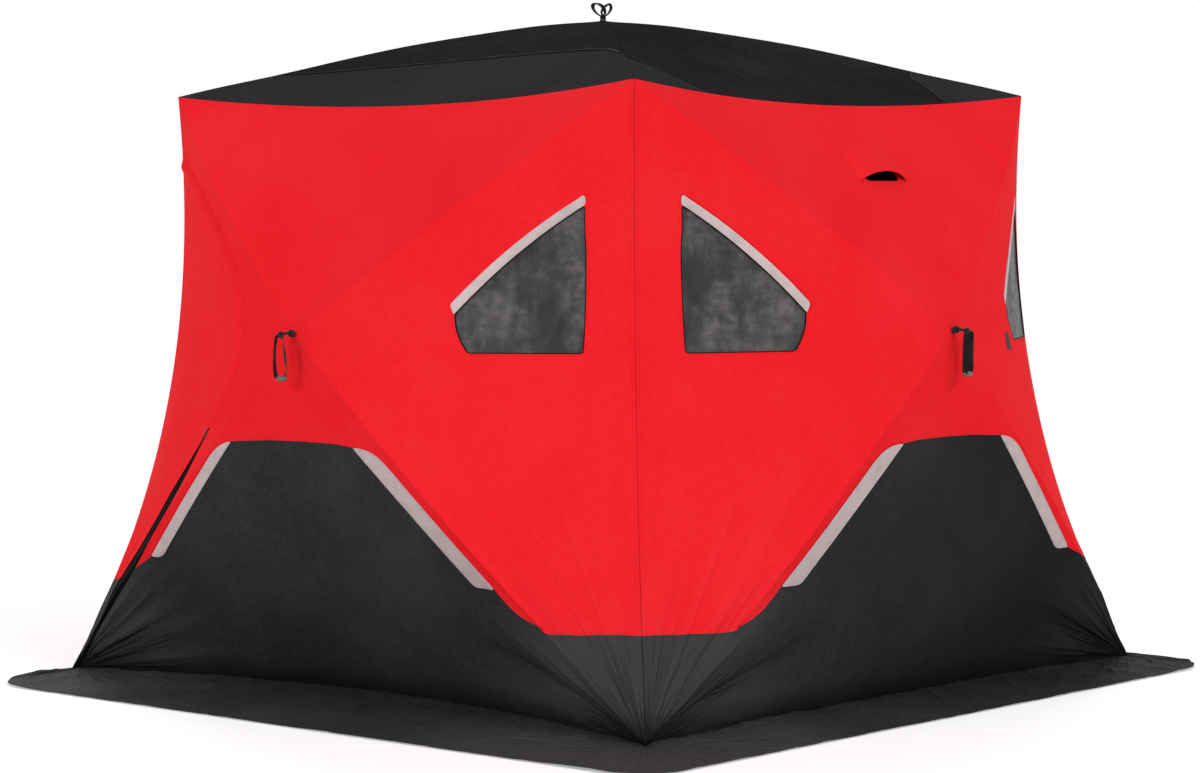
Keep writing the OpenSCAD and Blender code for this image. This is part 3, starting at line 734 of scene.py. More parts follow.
def shell(outer: Array, inner: Array, triangles: Array) -> tuple[Array, Array, Array]:
    """Closes two faces of a sheet with a rim.

    Args:
        outer: Points of the outer face.
        inner: The same points on the inner face.
        triangles: Triangles of the outer face.

    Returns:
        All points, all triangles, and each triangle's part: 0 outer, 1 inner, 2 rim.
    """
    n = len(outer)
    sides = np.concatenate([triangles[:, [0, 1]], triangles[:, [1, 2]], triangles[:, [2, 0]]])
    key = np.sort(sides, 1)
    _, first, uses = np.unique(key[:, 0] * n + key[:, 1], return_index=True, return_counts=True)
    rim = sides[first[uses == 1]]
    a, b = rim[:, 0], rim[:, 1]
    faces = np.concatenate(
        [triangles, triangles[:, ::-1] + n, np.stack([b, a, a + n], 1), np.stack([b, a + n, b + n], 1)]
    )
    part = np.repeat([0, 1, 2], [len(triangles), len(triangles), 2 * len(rim)])
    return np.concatenate([outer, inner]), faces, part


def on_cloth(
    surface: Surface, plan: Array, triangles: Array, lift: Array, thickness: Array | float
) -> tuple[Array, Array, Array]:
    """A thin closed layer over a surface's cloth.

    Args:
        surface: The surface.
        plan: The layer's points in the plan.
        triangles: Its triangles.
        lift: How high its outer face lies over the cloth.
        thickness: Its thickness.

    Returns:
        All points, all triangles, and each triangle's part, as a shell's.
    """
    front, back = surface.lay(plan, lift), surface.lay(plan, lift - thickness)
    return shell(front, back, facing(front, triangles, surface.wall.out))


def facing(points: Array, triangles: Array, outward: Array) -> Array:
    """The triangles, each turned so that its normal leans outward."""
    a, b, c = (points[triangles[:, k]] for k in range(3))
    wrong = np.einsum("ij,j->i", np.cross(b - a, c - a), outward) < 0
    triangles = triangles.copy()
    triangles[wrong] = triangles[wrong][:, ::-1]
    return triangles


class Patch:
    """Points and triangles over a surface's plan, cut along given lines."""

    def __init__(
        self,
        outline: Array,
        lines: Sequence[Array],
        spacing: float,
        extra: Array | None = None,
        sparse: float = 0.0,
    ) -> None:
        """Fills an outline with even triangles that keep to every line.

        Args:
            outline: The closed outline.
            lines: Open or closed lines that triangles mustn't cross.
            spacing: Distance between points inside.
            extra: More points inside.
            sparse: Round the extra points, how near the even points may come.
        """
        low, high = outline.min(0), outline.max(0)
        rows = np.arange(low[1], high[1], spacing * math.sqrt(3) / 2)
        starts = low[0] + np.arange(len(rows)) % 2 * spacing / 2
        across = [np.arange(start, high[0], spacing) for start in starts]
        grid = np.concatenate([np.stack([x, 0 * x + y], 1) for x, y in zip(across, rows)])
        if extra is not None and len(extra):
            grid = grid[~near_points(grid, extra, sparse)]
            grid = np.concatenate([grid, extra])
        grid = grid[inside(grid, outline)]
        gap = (0.45 if extra is None else 0.30) * spacing
        grid = grid[~near_lines(grid, [looped(outline), *lines], gap)]
        verts, edges = [], []
        for line, ring in [(outline, True)] + [(line, False) for line in lines]:
            start = len(verts)
            verts += [tuple(p) for p in line]
            count = len(line)
            edges += [(start + i, start + i + 1) for i in range(count - 1)]
            if ring:
                edges.append((start + count - 1, start))
        verts += [tuple(p) for p in grid]
        made = delaunay_2d_cdt([Vector(v) for v in verts], edges, [], 0, 1e-6, False)
        self.points = np.array([tuple(v) for v in made[0]])
        self.triangles = np.array([tuple(f) for f in made[2] if len(f) == 3], int)
        self.centres = self.points[self.triangles].mean(1)
        self.keep(inside(self.centres, outline))

    def keep(self, chosen: Array) -> None:
        """Drops the triangles that aren't chosen."""
        self.triangles = self.triangles[chosen]
        self.centres = self.centres[chosen]

    def part(self, chosen: Array) -> Pair:
        """The points and triangles of one part, numbered afresh."""
        used, turned = np.unique(self.triangles[chosen], return_inverse=True)
        return used, turned.reshape(-1, 3)


def distance_in(points: Array, loop: Array) -> Array:
    """How far inside a closed loop each point lies, or nothing outside it."""
    return np.where(inside(points, loop), distance_to(points, looped(loop)), 0)


def near_points(points: Array, others: Array, reach: float) -> Array:
    """Whether each point lies within reach of one of the others."""
    cells = {(int(math.floor(x / reach)), int(math.floor(y / reach))) for x, y in others}
    home = np.floor(points / reach).astype(int)
    return np.array(
        [any((x + i, y + j) in cells for i in (-1, 0, 1) for j in (-1, 0, 1)) for x, y in home]
    )


def near_lines(points: Array, lines: Sequence[Array], reach: float) -> Array:
    """Whether each point lies within reach of one of the lines."""
    found = np.zeros(len(points), bool)
    for line in lines:
        for a, b in zip(line[:-1], line[1:]):
            low, high = np.minimum(a, b) - reach, np.maximum(a, b) + reach
            some = np.flatnonzero(((points > low) & (points < high)).all(1))
            if not len(some):
                continue
            d = b - a
            t = np.clip((points[some] - a) @ d / max(d @ d, 1e-12), 0, 1)
            found[some] |= np.linalg.norm(points[some] - a - t[:, None] * d, axis=1) < reach
    return found


# ---- Finishes --------------------------------------------------------------


def tint(red: float, green: float, blue: float) -> tuple[float, float, float, float]:
    """A shader's colour from one on a screen's scale of 0 to 255."""
    parts = [v / 255 for v in (red, green, blue)]
    return (*(v / 12.92 if v <= 0.04045 else ((v + 0.055) / 1.055) ** 2.4 for v in parts), 1.0)


class Shader:
    """A finish under construction, node by node."""

    def __init__(self, name: str, world: bool = False) -> None:
        """Starts an empty material, or an empty world."""
        self.owner = (bpy.data.worlds if world else bpy.data.materials).new(name)
        self.owner.use_nodes = True
        self.tree = self.owner.node_tree
        self.tree.nodes.clear()

    def node(self, kind: str, inputs: dict | None = None, **settings: object) -> bpy.types.Node:
        """Adds a node.

        Args:
            kind: Its type, without the leading ShaderNode.
            inputs: Values or other nodes' outputs for its sockets, by name or number.
            settings: Values for its own properties.

        Returns:
            The node.
        """
        made = self.tree.nodes.new("ShaderNode" + kind)
        for key, value in settings.items():
            setattr(made, key, value)
        for key, value in (inputs or {}).items():
            if isinstance(value, Socket):
                self.tree.links.new(value, made.inputs[key])
            else:
                made.inputs[key].default_value = value
        return made

    def math(self, how: str, a: object, b: object = 0.0) -> Socket:
        """The result of a sum on two values."""
        return self.node("Math", {0: a, 1: b}, operation=how).outputs[0]

    def vector(self, how: str, *values: object) -> bpy.types.Node:
        """A node that works on one vector or two."""
        return self.node("VectorMath", dict(enumerate(values)), operation=how)

    def parts(self, where: object) -> Sequence[Socket]:
        """The three parts of a place."""
        return self.node("SeparateXYZ", {0: where}).outputs

    def span(self, value: object, low: float, high: float, to_low: float, to_high: float) -> Socket:
        """Carries a value smoothly from one span to another, and stops at its ends."""
        inputs = {"Value": value, "From Min": low, "From Max": high, "To Min": to_low, "To Max": to_high}
        return self.node("MapRange", inputs, interpolation_type="SMOOTHSTEP").outputs["Result"]

    def noise(self, where: object, scale: float, detail: float = 3.0, rough: float = 0.55) -> Socket:
        """Clouds of a given number to the metre."""
        inputs = {"Vector": where, "Scale": scale, "Detail": detail, "Roughness": rough}
        return self.node("TexNoise", inputs).outputs["Fac"]

    def stretch(self, where: object, scale: Triple, turn: float = 0.0) -> Socket:
        """Coordinates scaled along each axis, after a turn in degrees."""
        inputs = {"Vector": where, "Scale": scale, "Rotation": (0, 0, math.radians(turn))}
        return self.node("Mapping", inputs).outputs["Vector"]

    def blend(self, share: object, a: object, b: object) -> Socket:
        """A colour between two."""
        return self.node("Mix", {0: share, 6: a, 7: b}, data_type="RGBA").outputs[2]

    def place(self) -> Socket:
        """Places in the hut's axes, in metres."""
        return self.node("TexCoord").outputs["Object"]

    def cloth_place(self) -> Socket:
        """Places on the flat cloth, in metres."""
        return self.node("UVMap", uv_map=UV).outputs["UV"]

    def bump(self, height: object, depth: float, strength: float = 1.0, under: object = None) -> Socket:
        """A surface's normals over a height from 0 to 1, for a depth in metres."""
        inputs = {"Height": height, "Distance": depth, "Strength": strength}
        if under is not None:
            inputs["Normal"] = under
        return self.node("Bump", inputs).outputs["Normal"]

    def finish(self, inputs: dict) -> Material:
        """Ends in a surface shader with these inputs."""
        surface = self.node("BsdfPrincipled", inputs)
        self.tree.links.new(surface.outputs[0], self.node("OutputMaterial").inputs[0])
        return self.owner


@dataclass(frozen=True)
class Cloth:
    """Coated woven cloth, stitched to its wadding in small squares if it is quilted."""

    name: str
    colour: Triple
    pale: Triple
    quilt: float = 0.0
    puff: float = 0.0
    quilt_line: float = 0.0
    # How much paler the cloth turns near the base corners: a painted highlight, with some dust.
    corner_dust_and_highlight: float = 0.0
    # How strong the painted highlight streaks on the corner folds are.
    rays: float = 0.0
    ray_reach: float = 0.65
    # Height below which painted shade darkens the cloth's foot.
    damp: float = 0.0
    # How far painted shade darkens the cloth toward the back.
    back_shade: float = 0.0
    grain: float = 0.35
    thread: float = 0.0011
    crumple: float = 0.0012
    roughness: Span = (0.62, 0.82)
    specular: float = 0.06

    def material(self) -> Material:
        """Builds the cloth's shader."""
        s = Shader(self.name)
        flat, place = s.cloth_place(), s.place()
        clouds = s.noise(place, 2.3, 5, 0.6)
        fine = s.noise(place, 42, 4, 0.6)
        grain = s.span(s.noise(place, 330, 2, 0.6), 0.30, 0.70, 0, self.grain)
        pale = s.math("ADD", s.span(clouds, 0.35, 0.72, 0, 0.35), s.span(fine, 0.35, 0.8, 0, 0.25))
        pale = s.math("ADD", pale, grain)
        centred = s.vector("SUBTRACT", place, tuple(SIZES.middle)).outputs[0]
        mirrored = s.vector("ABSOLUTE", centred).outputs[0]
        reach = s.vector("SUBTRACT", mirrored, (SIZES.base_half, SIZES.base_half, 0.0)).outputs[0]
        away = s.vector("LENGTH", reach).outputs["Value"]
        # Paler toward each base corner: a painted highlight for the gloss the corner catches, with some dust
        # where the cloth meets the ground.
        if self.corner_dust_and_highlight:
            pale = s.math("ADD", pale, s.span(away, 0.1, 0.75, self.corner_dust_and_highlight, 0))
        # Painted highlights: pale streaks fan up from each base corner, standing in for light caught on the
        # folds' ridges; the same streaks also raise bumps further down.
        if self.rays:
            toward = s.vector("NORMALIZE", reach).outputs[0]
            rays = s.span(s.noise(toward, 15, 1.4, 0.45), 0.40, 0.68, 0, 1)
            rays = s.math("MULTIPLY", rays, s.span(away, 0.05, self.ray_reach, self.rays, 0))
            pale = s.math("ADD", pale, s.math("MULTIPLY", rays, 0.75))
        colour = s.blend(pale, tint(*self.colour), tint(*self.pale))
        # Painted shade: the colour darkens toward the back of the hut, standing in for walls and skirt that
        # turn away from the light.
        if self.back_shade:
            back = s.parts(centred)[1]
            colour = s.blend(s.span(back, -0.9, 1.15, 0, self.back_shade), colour, tint(4, 4, 4))
        # Painted shade: near the floor the cloth turns to a half-bright copy of its colour, standing in for
        # the shadow where the wall's foot meets the skirt.
        if self.damp:
            foot_shade_colour = tint(*(0.5 * v for v in self.colour))
            colour = s.blend(s.span(s.parts(centred)[2], 0.0, self.damp, 0.85, 0), colour, foot_shade_colour)
        weave = s.math("MULTIPLY", *(self.wave(s, s.parts(flat)[k], self.thread) for k in (0, 1)))
        normal = s.bump(weave, 0.00010, 0.6)
        wrinkles = s.noise(s.stretch(place, (1, 1, 0.35)), 48, 3, 0.6)
        crumple = s.math("ADD", s.noise(place, 14, 5, 0.62), wrinkles)
        normal = s.bump(crumple, self.crumple, 1.0, normal)
        if self.rays:
            normal = s.bump(rays, 0.010, 1.0, normal)
        if self.quilt:
            turned = s.parts(s.stretch(flat, (1, 1, 1), 45))
            lines = [s.math("ABSOLUTE", self.wave(s, turned[k], 2 * self.quilt)) for k in (0, 1)]
            nearest = s.math("MINIMUM", *lines)
            normal = s.bump(s.span(nearest, 0.0, 0.55, 0, 1), self.puff, 1.0, normal)
            dark = tuple(v * 0.80 for v in self.colour)
            colour = s.blend(s.span(nearest, 0.015, 0.07, self.quilt_line, 0), colour, tint(*dark))
        rough = s.span(fine, 0.3, 0.7, *self.roughness)
        return s.finish(
            {
                "Base Color": colour,
                "Roughness": rough,
                "Normal": normal,
                "Specular IOR Level": self.specular,
            }
        )

    @staticmethod
    def wave(s: Shader, place: object, length: float) -> Socket:
        """A wave of a given length in metres."""
        return s.math("SINE", s.math("MULTIPLY", place, 2 * math.pi / length))


@dataclass(frozen=True)
class Vinyl:
    """Smoked clear vinyl, cloudy and glossy."""

    name: str = "smoked_vinyl"
    colour: Triple = (50, 48, 48)
    cloud: Triple = (104, 101, 100)
    alpha: float = 0.93

    def material(self) -> Material:
        """Builds the vinyl's shader."""
        s = Shader(self.name)
        place = s.place()
        clouds = s.noise(s.stretch(place, (1, 1, 0.55)), 9, 5, 0.62)
        smears = s.noise(s.stretch(place, (1, 1, 2.2), 20), 23, 3, 0.6)
        share = s.math("MULTIPLY", s.span(clouds, 0.38, 0.68, 0, 1), s.span(smears, 0.3, 0.7, 0.35, 1))
        return s.finish(
            {
                "Base Color": s.blend(share, tint(*self.colour), tint(*self.cloud)),
                "Roughness": s.span(smears, 0.35, 0.7, 0.34, 0.5),
                "Alpha": s.span(share, 0, 1, self.alpha, 0.97),
                "Normal": s.bump(clouds, 0.002, 0.6),
                "Specular IOR Level": 0.14,
            }
        )


@dataclass(frozen=True)
class Tape:
    """Reflective tape with a fine raised net, on cloth."""

    name: str = "reflective_tape"
    colour: Triple = (190, 173, 174)
    soiled: Triple = (174, 158, 160)
    cell: float = 0.0045

    def material(self) -> Material:
        """Builds the tape's shader."""
        s = Shader(self.name)
        flat, place = s.cloth_place(), s.place()
        turned = s.parts(s.stretch(flat, (1, 1, 1), 45))
        net = s.math("MULTIPLY", *(Cloth.wave(s, turned[k], self.cell) for k in (0, 1)))
        dirt = s.noise(place, 26, 5, 0.65)
        soiled = s.span(dirt, 0.42, 0.75, 0, 0.8)
        return s.finish(
            {
                "Base Color": s.blend(soiled, tint(*self.colour), tint(*self.soiled)),
                "Roughness": s.span(dirt, 0.3, 0.7, 0.38, 0.55),
                "Normal": s.bump(net, 0.0002, 0.8),
                "Metallic": 0.12,
                "Specular IOR Level": 0.4,
            }
        )


@dataclass(frozen=True)
class Webbing:
    """Narrow woven strap: ribs across it, fuzzy and dull."""

    name: str = "woven_webbing"
    colour: Triple = (22, 20, 21)
    worn: Triple = (52, 49, 50)
    rib: float = 0.0024
    fuzz: float = 0.25

    def material(self) -> Material:
        """Builds the webbing's shader."""
        s = Shader(self.name)
        flat, place = s.parts(s.cloth_place()), s.place()
        ribs = Cloth.wave(s, flat[0], self.rib)
        warp = Cloth.wave(s, flat[1], self.rib * 1.3)
        woven = s.math("MULTIPLY", ribs, s.math("ADD", s.math("MULTIPLY", warp, 0.4), 0.7))
        fuzz = s.noise(place, 260, 3, 0.7)
        worn = s.span(s.math("ADD", fuzz, woven), 0.6, 1.5, 0, 0.8)
        return s.finish(
            {
                "Base Color": s.blend(worn, tint(*self.colour), tint(*self.worn)),
                "Roughness": s.span(fuzz, 0.3, 0.7, 0.7, 0.9),
                "Normal": s.bump(woven, 0.0005, 0.9),
                "Specular IOR Level": 0.08,
                "Sheen Weight": self.fuzz,
                "Sheen Roughness": 0.4,
            }
        )


@dataclass(frozen=True)
class Moulded:
    """Moulded plastic or coated rod, finely grained and scuffed on its high spots."""

    name: str
    colour: Triple
    scuffed: Triple
    roughness: Span = (0.38, 0.6)
    grain: float = 900
    specular: float = 0.45

    def material(self) -> Material:
        """Builds the plastic's shader."""
        s = Shader(self.name)
        place = s.place()
        grain = s.noise(place, self.grain, 2, 0.5)
        scuffs = s.noise(s.stretch(place, (1, 1, 0.4)), 70, 6, 0.7)
        edges = s.span(s.node("NewGeometry").outputs["Pointiness"], 0.50, 0.58, 0, 0.5)
        share = s.math("MAXIMUM", s.span(scuffs, 0.58, 0.8, 0, 0.7), edges)
        return s.finish(
            {
                "Base Color": s.blend(share, tint(*self.colour), tint(*self.scuffed)),
                "Roughness": s.span(scuffs, 0.3, 0.7, *self.roughness),
                "Normal": s.bump(grain, 0.00012, 0.5),
                "Specular IOR Level": self.specular,
            }
        )


@dataclass(frozen=True)
class Finishes:
    """Every finish on the hut."""

    red: Material = Cloth(
        "red_quilted_cloth", (234, 26, 35), (240, 48, 54), 0.040, 0.0004, 0.08,
        rays=0.4, ray_reach=1.3, grain=0.2, specular=0.02,
    ).material()
    black: Material = Cloth(
        "black_quilted_cloth", (30, 30, 31), (62, 62, 63), 0.040, 0.0003,
        corner_dust_and_highlight=0.8, rays=1.0, damp=0.11, back_shade=0.6, grain=0.55, specular=0.03,
    ).material()
    roof: Material = Cloth(
        "roof_cloth", (18, 16, 19), (48, 46, 49), thread=0.0030, grain=0.8, specular=0.0
    ).material()
    roof_band: Material = Cloth(
        "roof_band_cloth", (38, 37, 39), (56, 55, 57), thread=0.0030, grain=0.6, specular=0.0, crumple=0.0007
    ).material()
    skirt: Material = Cloth(
        "skirt_cloth", (36, 36, 36), (66, 66, 66),
        specular=0.02, crumple=0.0070, corner_dust_and_highlight=1.2, rays=0.6, back_shade=0.5, grain=0.6,
    ).material()
    lining: Material = Cloth("lining_cloth", (27, 27, 29), (38, 38, 40), 0.040, 0.0009, 0.3).material()
    vinyl: Material = Vinyl().material()
    tape: Material = Tape().material()
    webbing: Material = Webbing().material()
    # Near-black zip tape, darker than the other webbing: its own black plus painted shade for the gaping slot
    # of the door's zip.
    zip_tape: Material = Webbing("zip_tape", (9, 8, 9), (16, 15, 16), 0.0012, 0.0).material()
    hub: Material = Moulded("moulded_nylon", (20, 20, 21), (54, 53, 53)).material()
    pole: Material = Moulded("fibreglass_rod", (78, 80, 83), (128, 130, 132), (0.3, 0.5), 500).material()
    ferrule: Material = Moulded("strap_clip", (96, 95, 94), (150, 149, 147), (0.3, 0.5), 700).material()
    dark_thread: Material = Moulded(
        "dark_thread", (13, 12, 13), (34, 33, 33), (0.6, 0.8), 1500, 0.06
    ).material()
    red_thread: Material = Moulded(
        "red_thread", (158, 18, 26), (196, 34, 40), (0.6, 0.8), 1500, 0.06
    ).material()


# ---- Sewn parts ------------------------------------------------------------


def settle(obj: Piece, slot: str, *nodes: str) -> Piece:
    """Hides the nodes that a piece stands for, and reports it.

    Args:
        obj: The piece.
        slot: Not used.
        nodes: The nodes that it replaces.

    Returns:
        The piece.
    """
    if nodes:
        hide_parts(*nodes)
    LOG.info("%s: %d faces, for %s", obj.name, len(obj.data.polygons), ", ".join(nodes) or "no node")
    return obj


def ribbon_grid(line: Array, half: Array, across: int) -> Pair:
    """A ribbon's points in the plan.

    Args:
        line: Its centre line.
        half: Half its width at each point of the line.
        across: How many points lie across it.

    Returns:
        The points, row by row, and how far across each lies from -1 to 1.
    """
    share = np.linspace(-1, 1, across)
    points = line[:, None] + left_of(line)[:, None] * (half[:, None] * share[None])[..., None]
    return points.reshape(-1, 2), np.tile(share, len(line))


def grid_triangles(rows: int, cols: int, closed: bool = False) -> Array:
    """Triangles of a grid of points.

    Args:
        rows: Rows of points.
        cols: Points in a row.
        closed: Whether each row's ends meet.

    Returns:
        The triangles.
    """
    r, c = np.meshgrid(np.arange(rows - 1), np.arange(cols if closed else cols - 1), indexing="ij")
    r, c = r.ravel(), c.ravel()
    d = (c + 1) % cols
    p, q, u, v = r * cols + c, r * cols + d, (r + 1) * cols + d, (r + 1) * cols + c
    return np.concatenate([np.stack([p, q, u], 1), np.stack([p, u, v], 1)])


def join(parts: Sequence[Pair]) -> Pair:
    """Several meshes as one: their points, and their faces numbered to match."""
    shift, points, faces = 0, [], []
    for p, f in parts:
        points.append(p)
        faces.append(f + shift)
        shift += len(p)
    return np.concatenate(points), np.concatenate(faces)


def sweep(line: Array, section: Array, side: Array, up: Array) -> Pair:
    """A section carried along a line, with closed ends.

    Args:
        line: The line's points.
        section: The section's points, as shares of side and up, one row or one for each point.
        side: The section's first axis at each point of the line.
        up: The section's second axis at each point of the line.

    Returns:
        Points and triangles.
    """
    count = len(line)
    shape = np.broadcast_to(section, (count, *section.shape[-2:]))
    points = line[:, None] + shape[..., :1] * side[:, None] + shape[..., 1:] * up[:, None]
    cols = shape.shape[1]
    middles = points[[0, -1]].mean(1)
    flat = np.concatenate([points.reshape(-1, 3), middles])
    k = np.arange(cols)
    start = np.stack([np.full(cols, count * cols), (k + 1) % cols, k], 1)
    last = (count - 1) * cols
    end = np.stack([np.full(cols, count * cols + 1), last + k, last + (k + 1) % cols], 1)
    return flat, np.concatenate([grid_triangles(count, cols, True), start, end])


def tube(line: Array, radius: Array | float, sides: int = 12) -> Pair:
    """A round tube along a line, with a radius for each point."""
    d = unit(np.gradient(line, axis=0))
    side = unit(np.cross(d, [0.013, 0.027, 1.0]))
    radius = np.broadcast_to(np.asarray(radius, float), len(line))
    return sweep(line, circle(sides)[None] * radius[:, None, None], side, np.cross(d, side))


def repeated(points: Array, faces: Array) -> Pair:
    """A small mesh that repeats.

    Args:
        points: Each copy's points, as rows of a first axis.
        faces: The faces of one copy.

    Returns:
        All points and all faces.
    """
    count, size = points.shape[:2]
    return points.reshape(-1, 3), (faces[None] + size * np.arange(count)[:, None, None]).reshape(-1, 3)


@dataclass
class Sewing:
    """Stitches of thread along lines on one surface, gathered in one piece."""

    surface: Surface
    pitch: float = 0.0068
    length: float = 0.0046
    width: float = 0.0009
    parts: list = field(default_factory=list)

    def row(self, line: Array, lift: float = 0.0006) -> None:
        """Sews one row.

        Args:
            line: The row's line, in the plan.
            lift: How high over the cloth it runs.
        """
        at = resample(line, self.pitch)
        if len(at) < 3:
            return
        middle = (at[1:] + at[:-1]) / 2
        d = unit(np.diff(at, axis=0)) * self.length / 2
        a, b = self.surface.lay(middle - d, lift * 0.3), self.surface.lay(middle + d, lift * 0.3)
        top = self.surface.lay(middle, lift)
        low = self.surface.lay(middle, -0.0004)
        along = unit(b - a)
        side = unit(np.cross(along, top - low)) * self.width / 2
        points = np.stack([a, b, top, low, (a + b) / 2 + side, (a + b) / 2 - side], 1)
        faces = np.array(
            [[0, 4, 2], [4, 1, 2], [1, 5, 2], [5, 0, 2], [4, 0, 3], [1, 4, 3], [5, 1, 3], [0, 5, 3]]
        )
        self.parts.append(repeated(points, faces))

    def cord(self, line: Array, radius: Array | float) -> None:
        """Lays a thin round edging along a line in the hut's axes."""
        self.parts.append(tube(line, radius, 8))

    def build(self, name: str, thread: Material, slot: str) -> Piece:
        """Makes the piece."""
        points, faces = join(self.parts)
        return settle(mesh_object(name, points, faces, [thread], crease=180), slot)


@dataclass
class PanelShapes:
    """Outlines on a wall, in along and up."""

    panel_top_h: float = 0.772
    panel_top_half: float = 0.340
    front_step: float = 0.040
    shoulder_half: float = 0.715
    shoulder_h: float = 0.396
    panel_side_h: float = 0.284
    door_step: float = 0.014
    back_step: float = 0.046
    slope_strip_w: float = 0.046
    near_strip_w: float = 0.058
    door_strip_w: float = 0.031
    corner_ease: float = 0.085
    window_edge: float = 0.119
    window_w: float = 0.346
    window_sill_drop: float = 0.048
    window_tip_rise: float = 0.086
    window_top_drop: float = 0.315
    window_sill_in: float = 0.060
    window_strip_w: float = 0.023
    window_side_lean: float = 0.016
    window_bow: float = 0.015
    window_side_bow: float = 0.008
    strip_tip_share: float = 0.85
    door_half: float = 0.312
    door_top_drop: float = 0.190
    zip_w: float = 0.020
    reach: float = 1.40

    def panel_edge(self, wall: Wall) -> Array:
        """The dark panel's top edge, from beyond one seam to beyond the other."""
        halves = [self.panel_half(wall, side) * [side, 1] for side in (-1, 1)]
        return np.concatenate([halves[0][:0:-1], halves[1]])

    def side_h(self, wall: Wall, side: int) -> float:
        """How high the panel's edge meets a corner seam, at the front, at the door or at the back."""
        if wall.toward_front(side):
            return self.panel_side_h
        by_door = (wall, side > 0) in ((Wall.FRONT, False), (Wall.LEFT, True))
        return self.panel_side_h + (self.door_step if by_door else self.back_step)

    def panel_half(self, wall: Wall, side: int) -> Array:
        """Half of that edge, turned to the right, with a straighter shoulder beside the door."""
        straight = not wall.toward_front(side)
        drop = 0.55 if straight else 0.30
        end_h = self.side_h(wall, side)
        low = end_h * (1 - drop) + self.shoulder_h * drop
        start = [[0, self.panel_top_h + 0.006], [self.panel_top_half * 0.4, self.panel_top_h + 0.004]]
        top = np.concatenate([start, self.upper_corner(wall, side)])
        shoulder = bezier(
            (self.shoulder_half, self.shoulder_h),
            (self.shoulder_half + 0.080, low),
            (self.shoulder_half + 0.130, end_h + (0.022 if straight else 0.006)),
            (self.shoulder_half + 0.240, end_h),
            14,
        )
        return np.concatenate([top, shoulder, [[self.reach, end_h]]])

    def slope(self, wall: Wall, side: int) -> Pair:
        """The ends of the panel's slope on one side, turned to the right."""
        half = self.panel_top_half - self.front_step * wall.toward_front(side)
        a = np.array([half, self.panel_top_h - 0.006])
        return a, np.array([self.shoulder_half, self.shoulder_h])

    def upper_corner(self, wall: Wall, side: int) -> Array:
        """The panel's upper corner, eased from its level top into its slope."""
        a, b = self.slope(wall, side)
        before, after = a - [self.corner_ease, -0.003], a + unit(b - a) * self.corner_ease
        return bezier(before, mix(before, a, 0.8), mix(after, a, 0.8), after, 14)

    def slope_strip(self, wall: Wall, side: int) -> Array:
        """The outline of the strip down the panel's slope, which follows its corner."""
        a, b = self.slope(wall, side)
        width = self.near_strip_w if wall.toward_front(side) else self.slope_strip_w
        if wall.has_door and side < 0:
            width = self.door_strip_w
        across = np.array([width / -unit(b - a)[1], 0])
        corner = self.upper_corner(wall, side)
        inner_top = a - across
        outer = corner[corner[:, 0] > inner_top[0] + 0.004]
        first = np.array([[inner_top[0], np.interp(inner_top[0], corner[:, 0], corner[:, 1]) - 0.002]])
        low = rounded([outer[-1], b, b - across, first[0]], [0.0, 0.004, 0.052, 0.0], 8)
        return np.concatenate([first, outer, low[9:27]])

    def window_corners(self) -> dict[str, Array]:
        """The corners of the right window and its strip."""
        out = SIZES.roof_half - self.window_edge
        inner = out - self.window_w
        sill = SIZES.hub_h - self.window_sill_drop
        tip = np.array([inner, SIZES.hub_h + self.window_tip_rise])
        top = np.array([out - self.window_side_lean / 2, SIZES.eave_h - self.window_top_drop])
        sill_in = np.array([inner + self.window_sill_in, sill])
        sill_out = np.array([out + self.window_side_lean / 2, sill])
        drop = self.window_strip_w / unit(top - tip)[0]
        tip_share = drop * self.strip_tip_share / (tip[1] - sill)
        top_share = drop / (top[1] - sill)
        return {
            "tip": tip,
            "top": top,
            "sill_in": sill_in,
            "sill_out": sill_out,
            "tip_low": tip * (1 - tip_share) + sill_in * tip_share,
            "top_low": top * (1 - top_share) + sill_out * top_share,
        }

    def window(self, side: int, grow: float = 0.0) -> Array:
        """The outline of a window, grown by a lap."""
        c = self.window_corners()
        corners = [c["tip_low"], c["top_low"], c["sill_out"], c["sill_in"]]
        loop = self.bent(resample(looped(rounded(corners, [0.010, 0.006, 0.008, 0.012])), 0.009)[:-1])
        if grow:
            loop = offset_line(np.concatenate([loop[-1:], loop, loop[:1]]), grow)[1:-1]
        return loop * [side, 1]

    def bent(self, points: Array) -> Array:
        """Bows a window's sloping edge and its inner side outward."""
        c = self.window_corners()
        along, over, normal = self.beside(points, c["tip_low"], c["top_low"])
        points = points + normal * (self.window_bow * bow(along) * smooth(over, -0.10, -0.02))[:, None]
        up, out, away = self.beside(points, c["sill_in"], c["tip_low"])
        near = 1 - smooth(np.abs(out), 0.02, 0.10)
        swell = self.window_side_bow * bow(up) * near * (1 - smooth(over, -0.03, 0.0))
        return points + away * swell[:, None]

    @staticmethod
    def beside(points: Array, a: Array, b: Array) -> tuple[Array, Array, Array]:
        """Shares of the way from a to b, distances to the left of that line, and its left."""
        run = b - a
        left = unit(np.array([-run[1], run[0]]))
        return np.clip(((points - a) @ run) / (run @ run), 0, 1), (points - a) @ left, left

    def door_path(self) -> Array:
        """The middle of the zip, from the left seam down to the base corner."""
        roof, base, hub = SIZES.roof_half, SIZES.base_half, SIZES.hub_h
        middle = (-self.door_half, hub - 0.008)
        upper = bezier(
            (-roof - 0.015, SIZES.eave_h - self.door_top_drop),
            (-0.6 * roof, SIZES.eave_h - 2 * self.door_top_drop + 0.010),
            (-self.door_half - 0.006, hub + 0.152),
            middle,
            60,
        )
        lower = bezier(
            middle,
            (-self.door_half + 0.012, hub - 0.228),
            (-0.52 * base, 0.5 * hub),
            (-base + 0.014, SIZES.skirt_t),
            80,
        )
        return resample(np.concatenate([upper, lower[1:]]), 0.012)


SHAPES = PanelShapes()


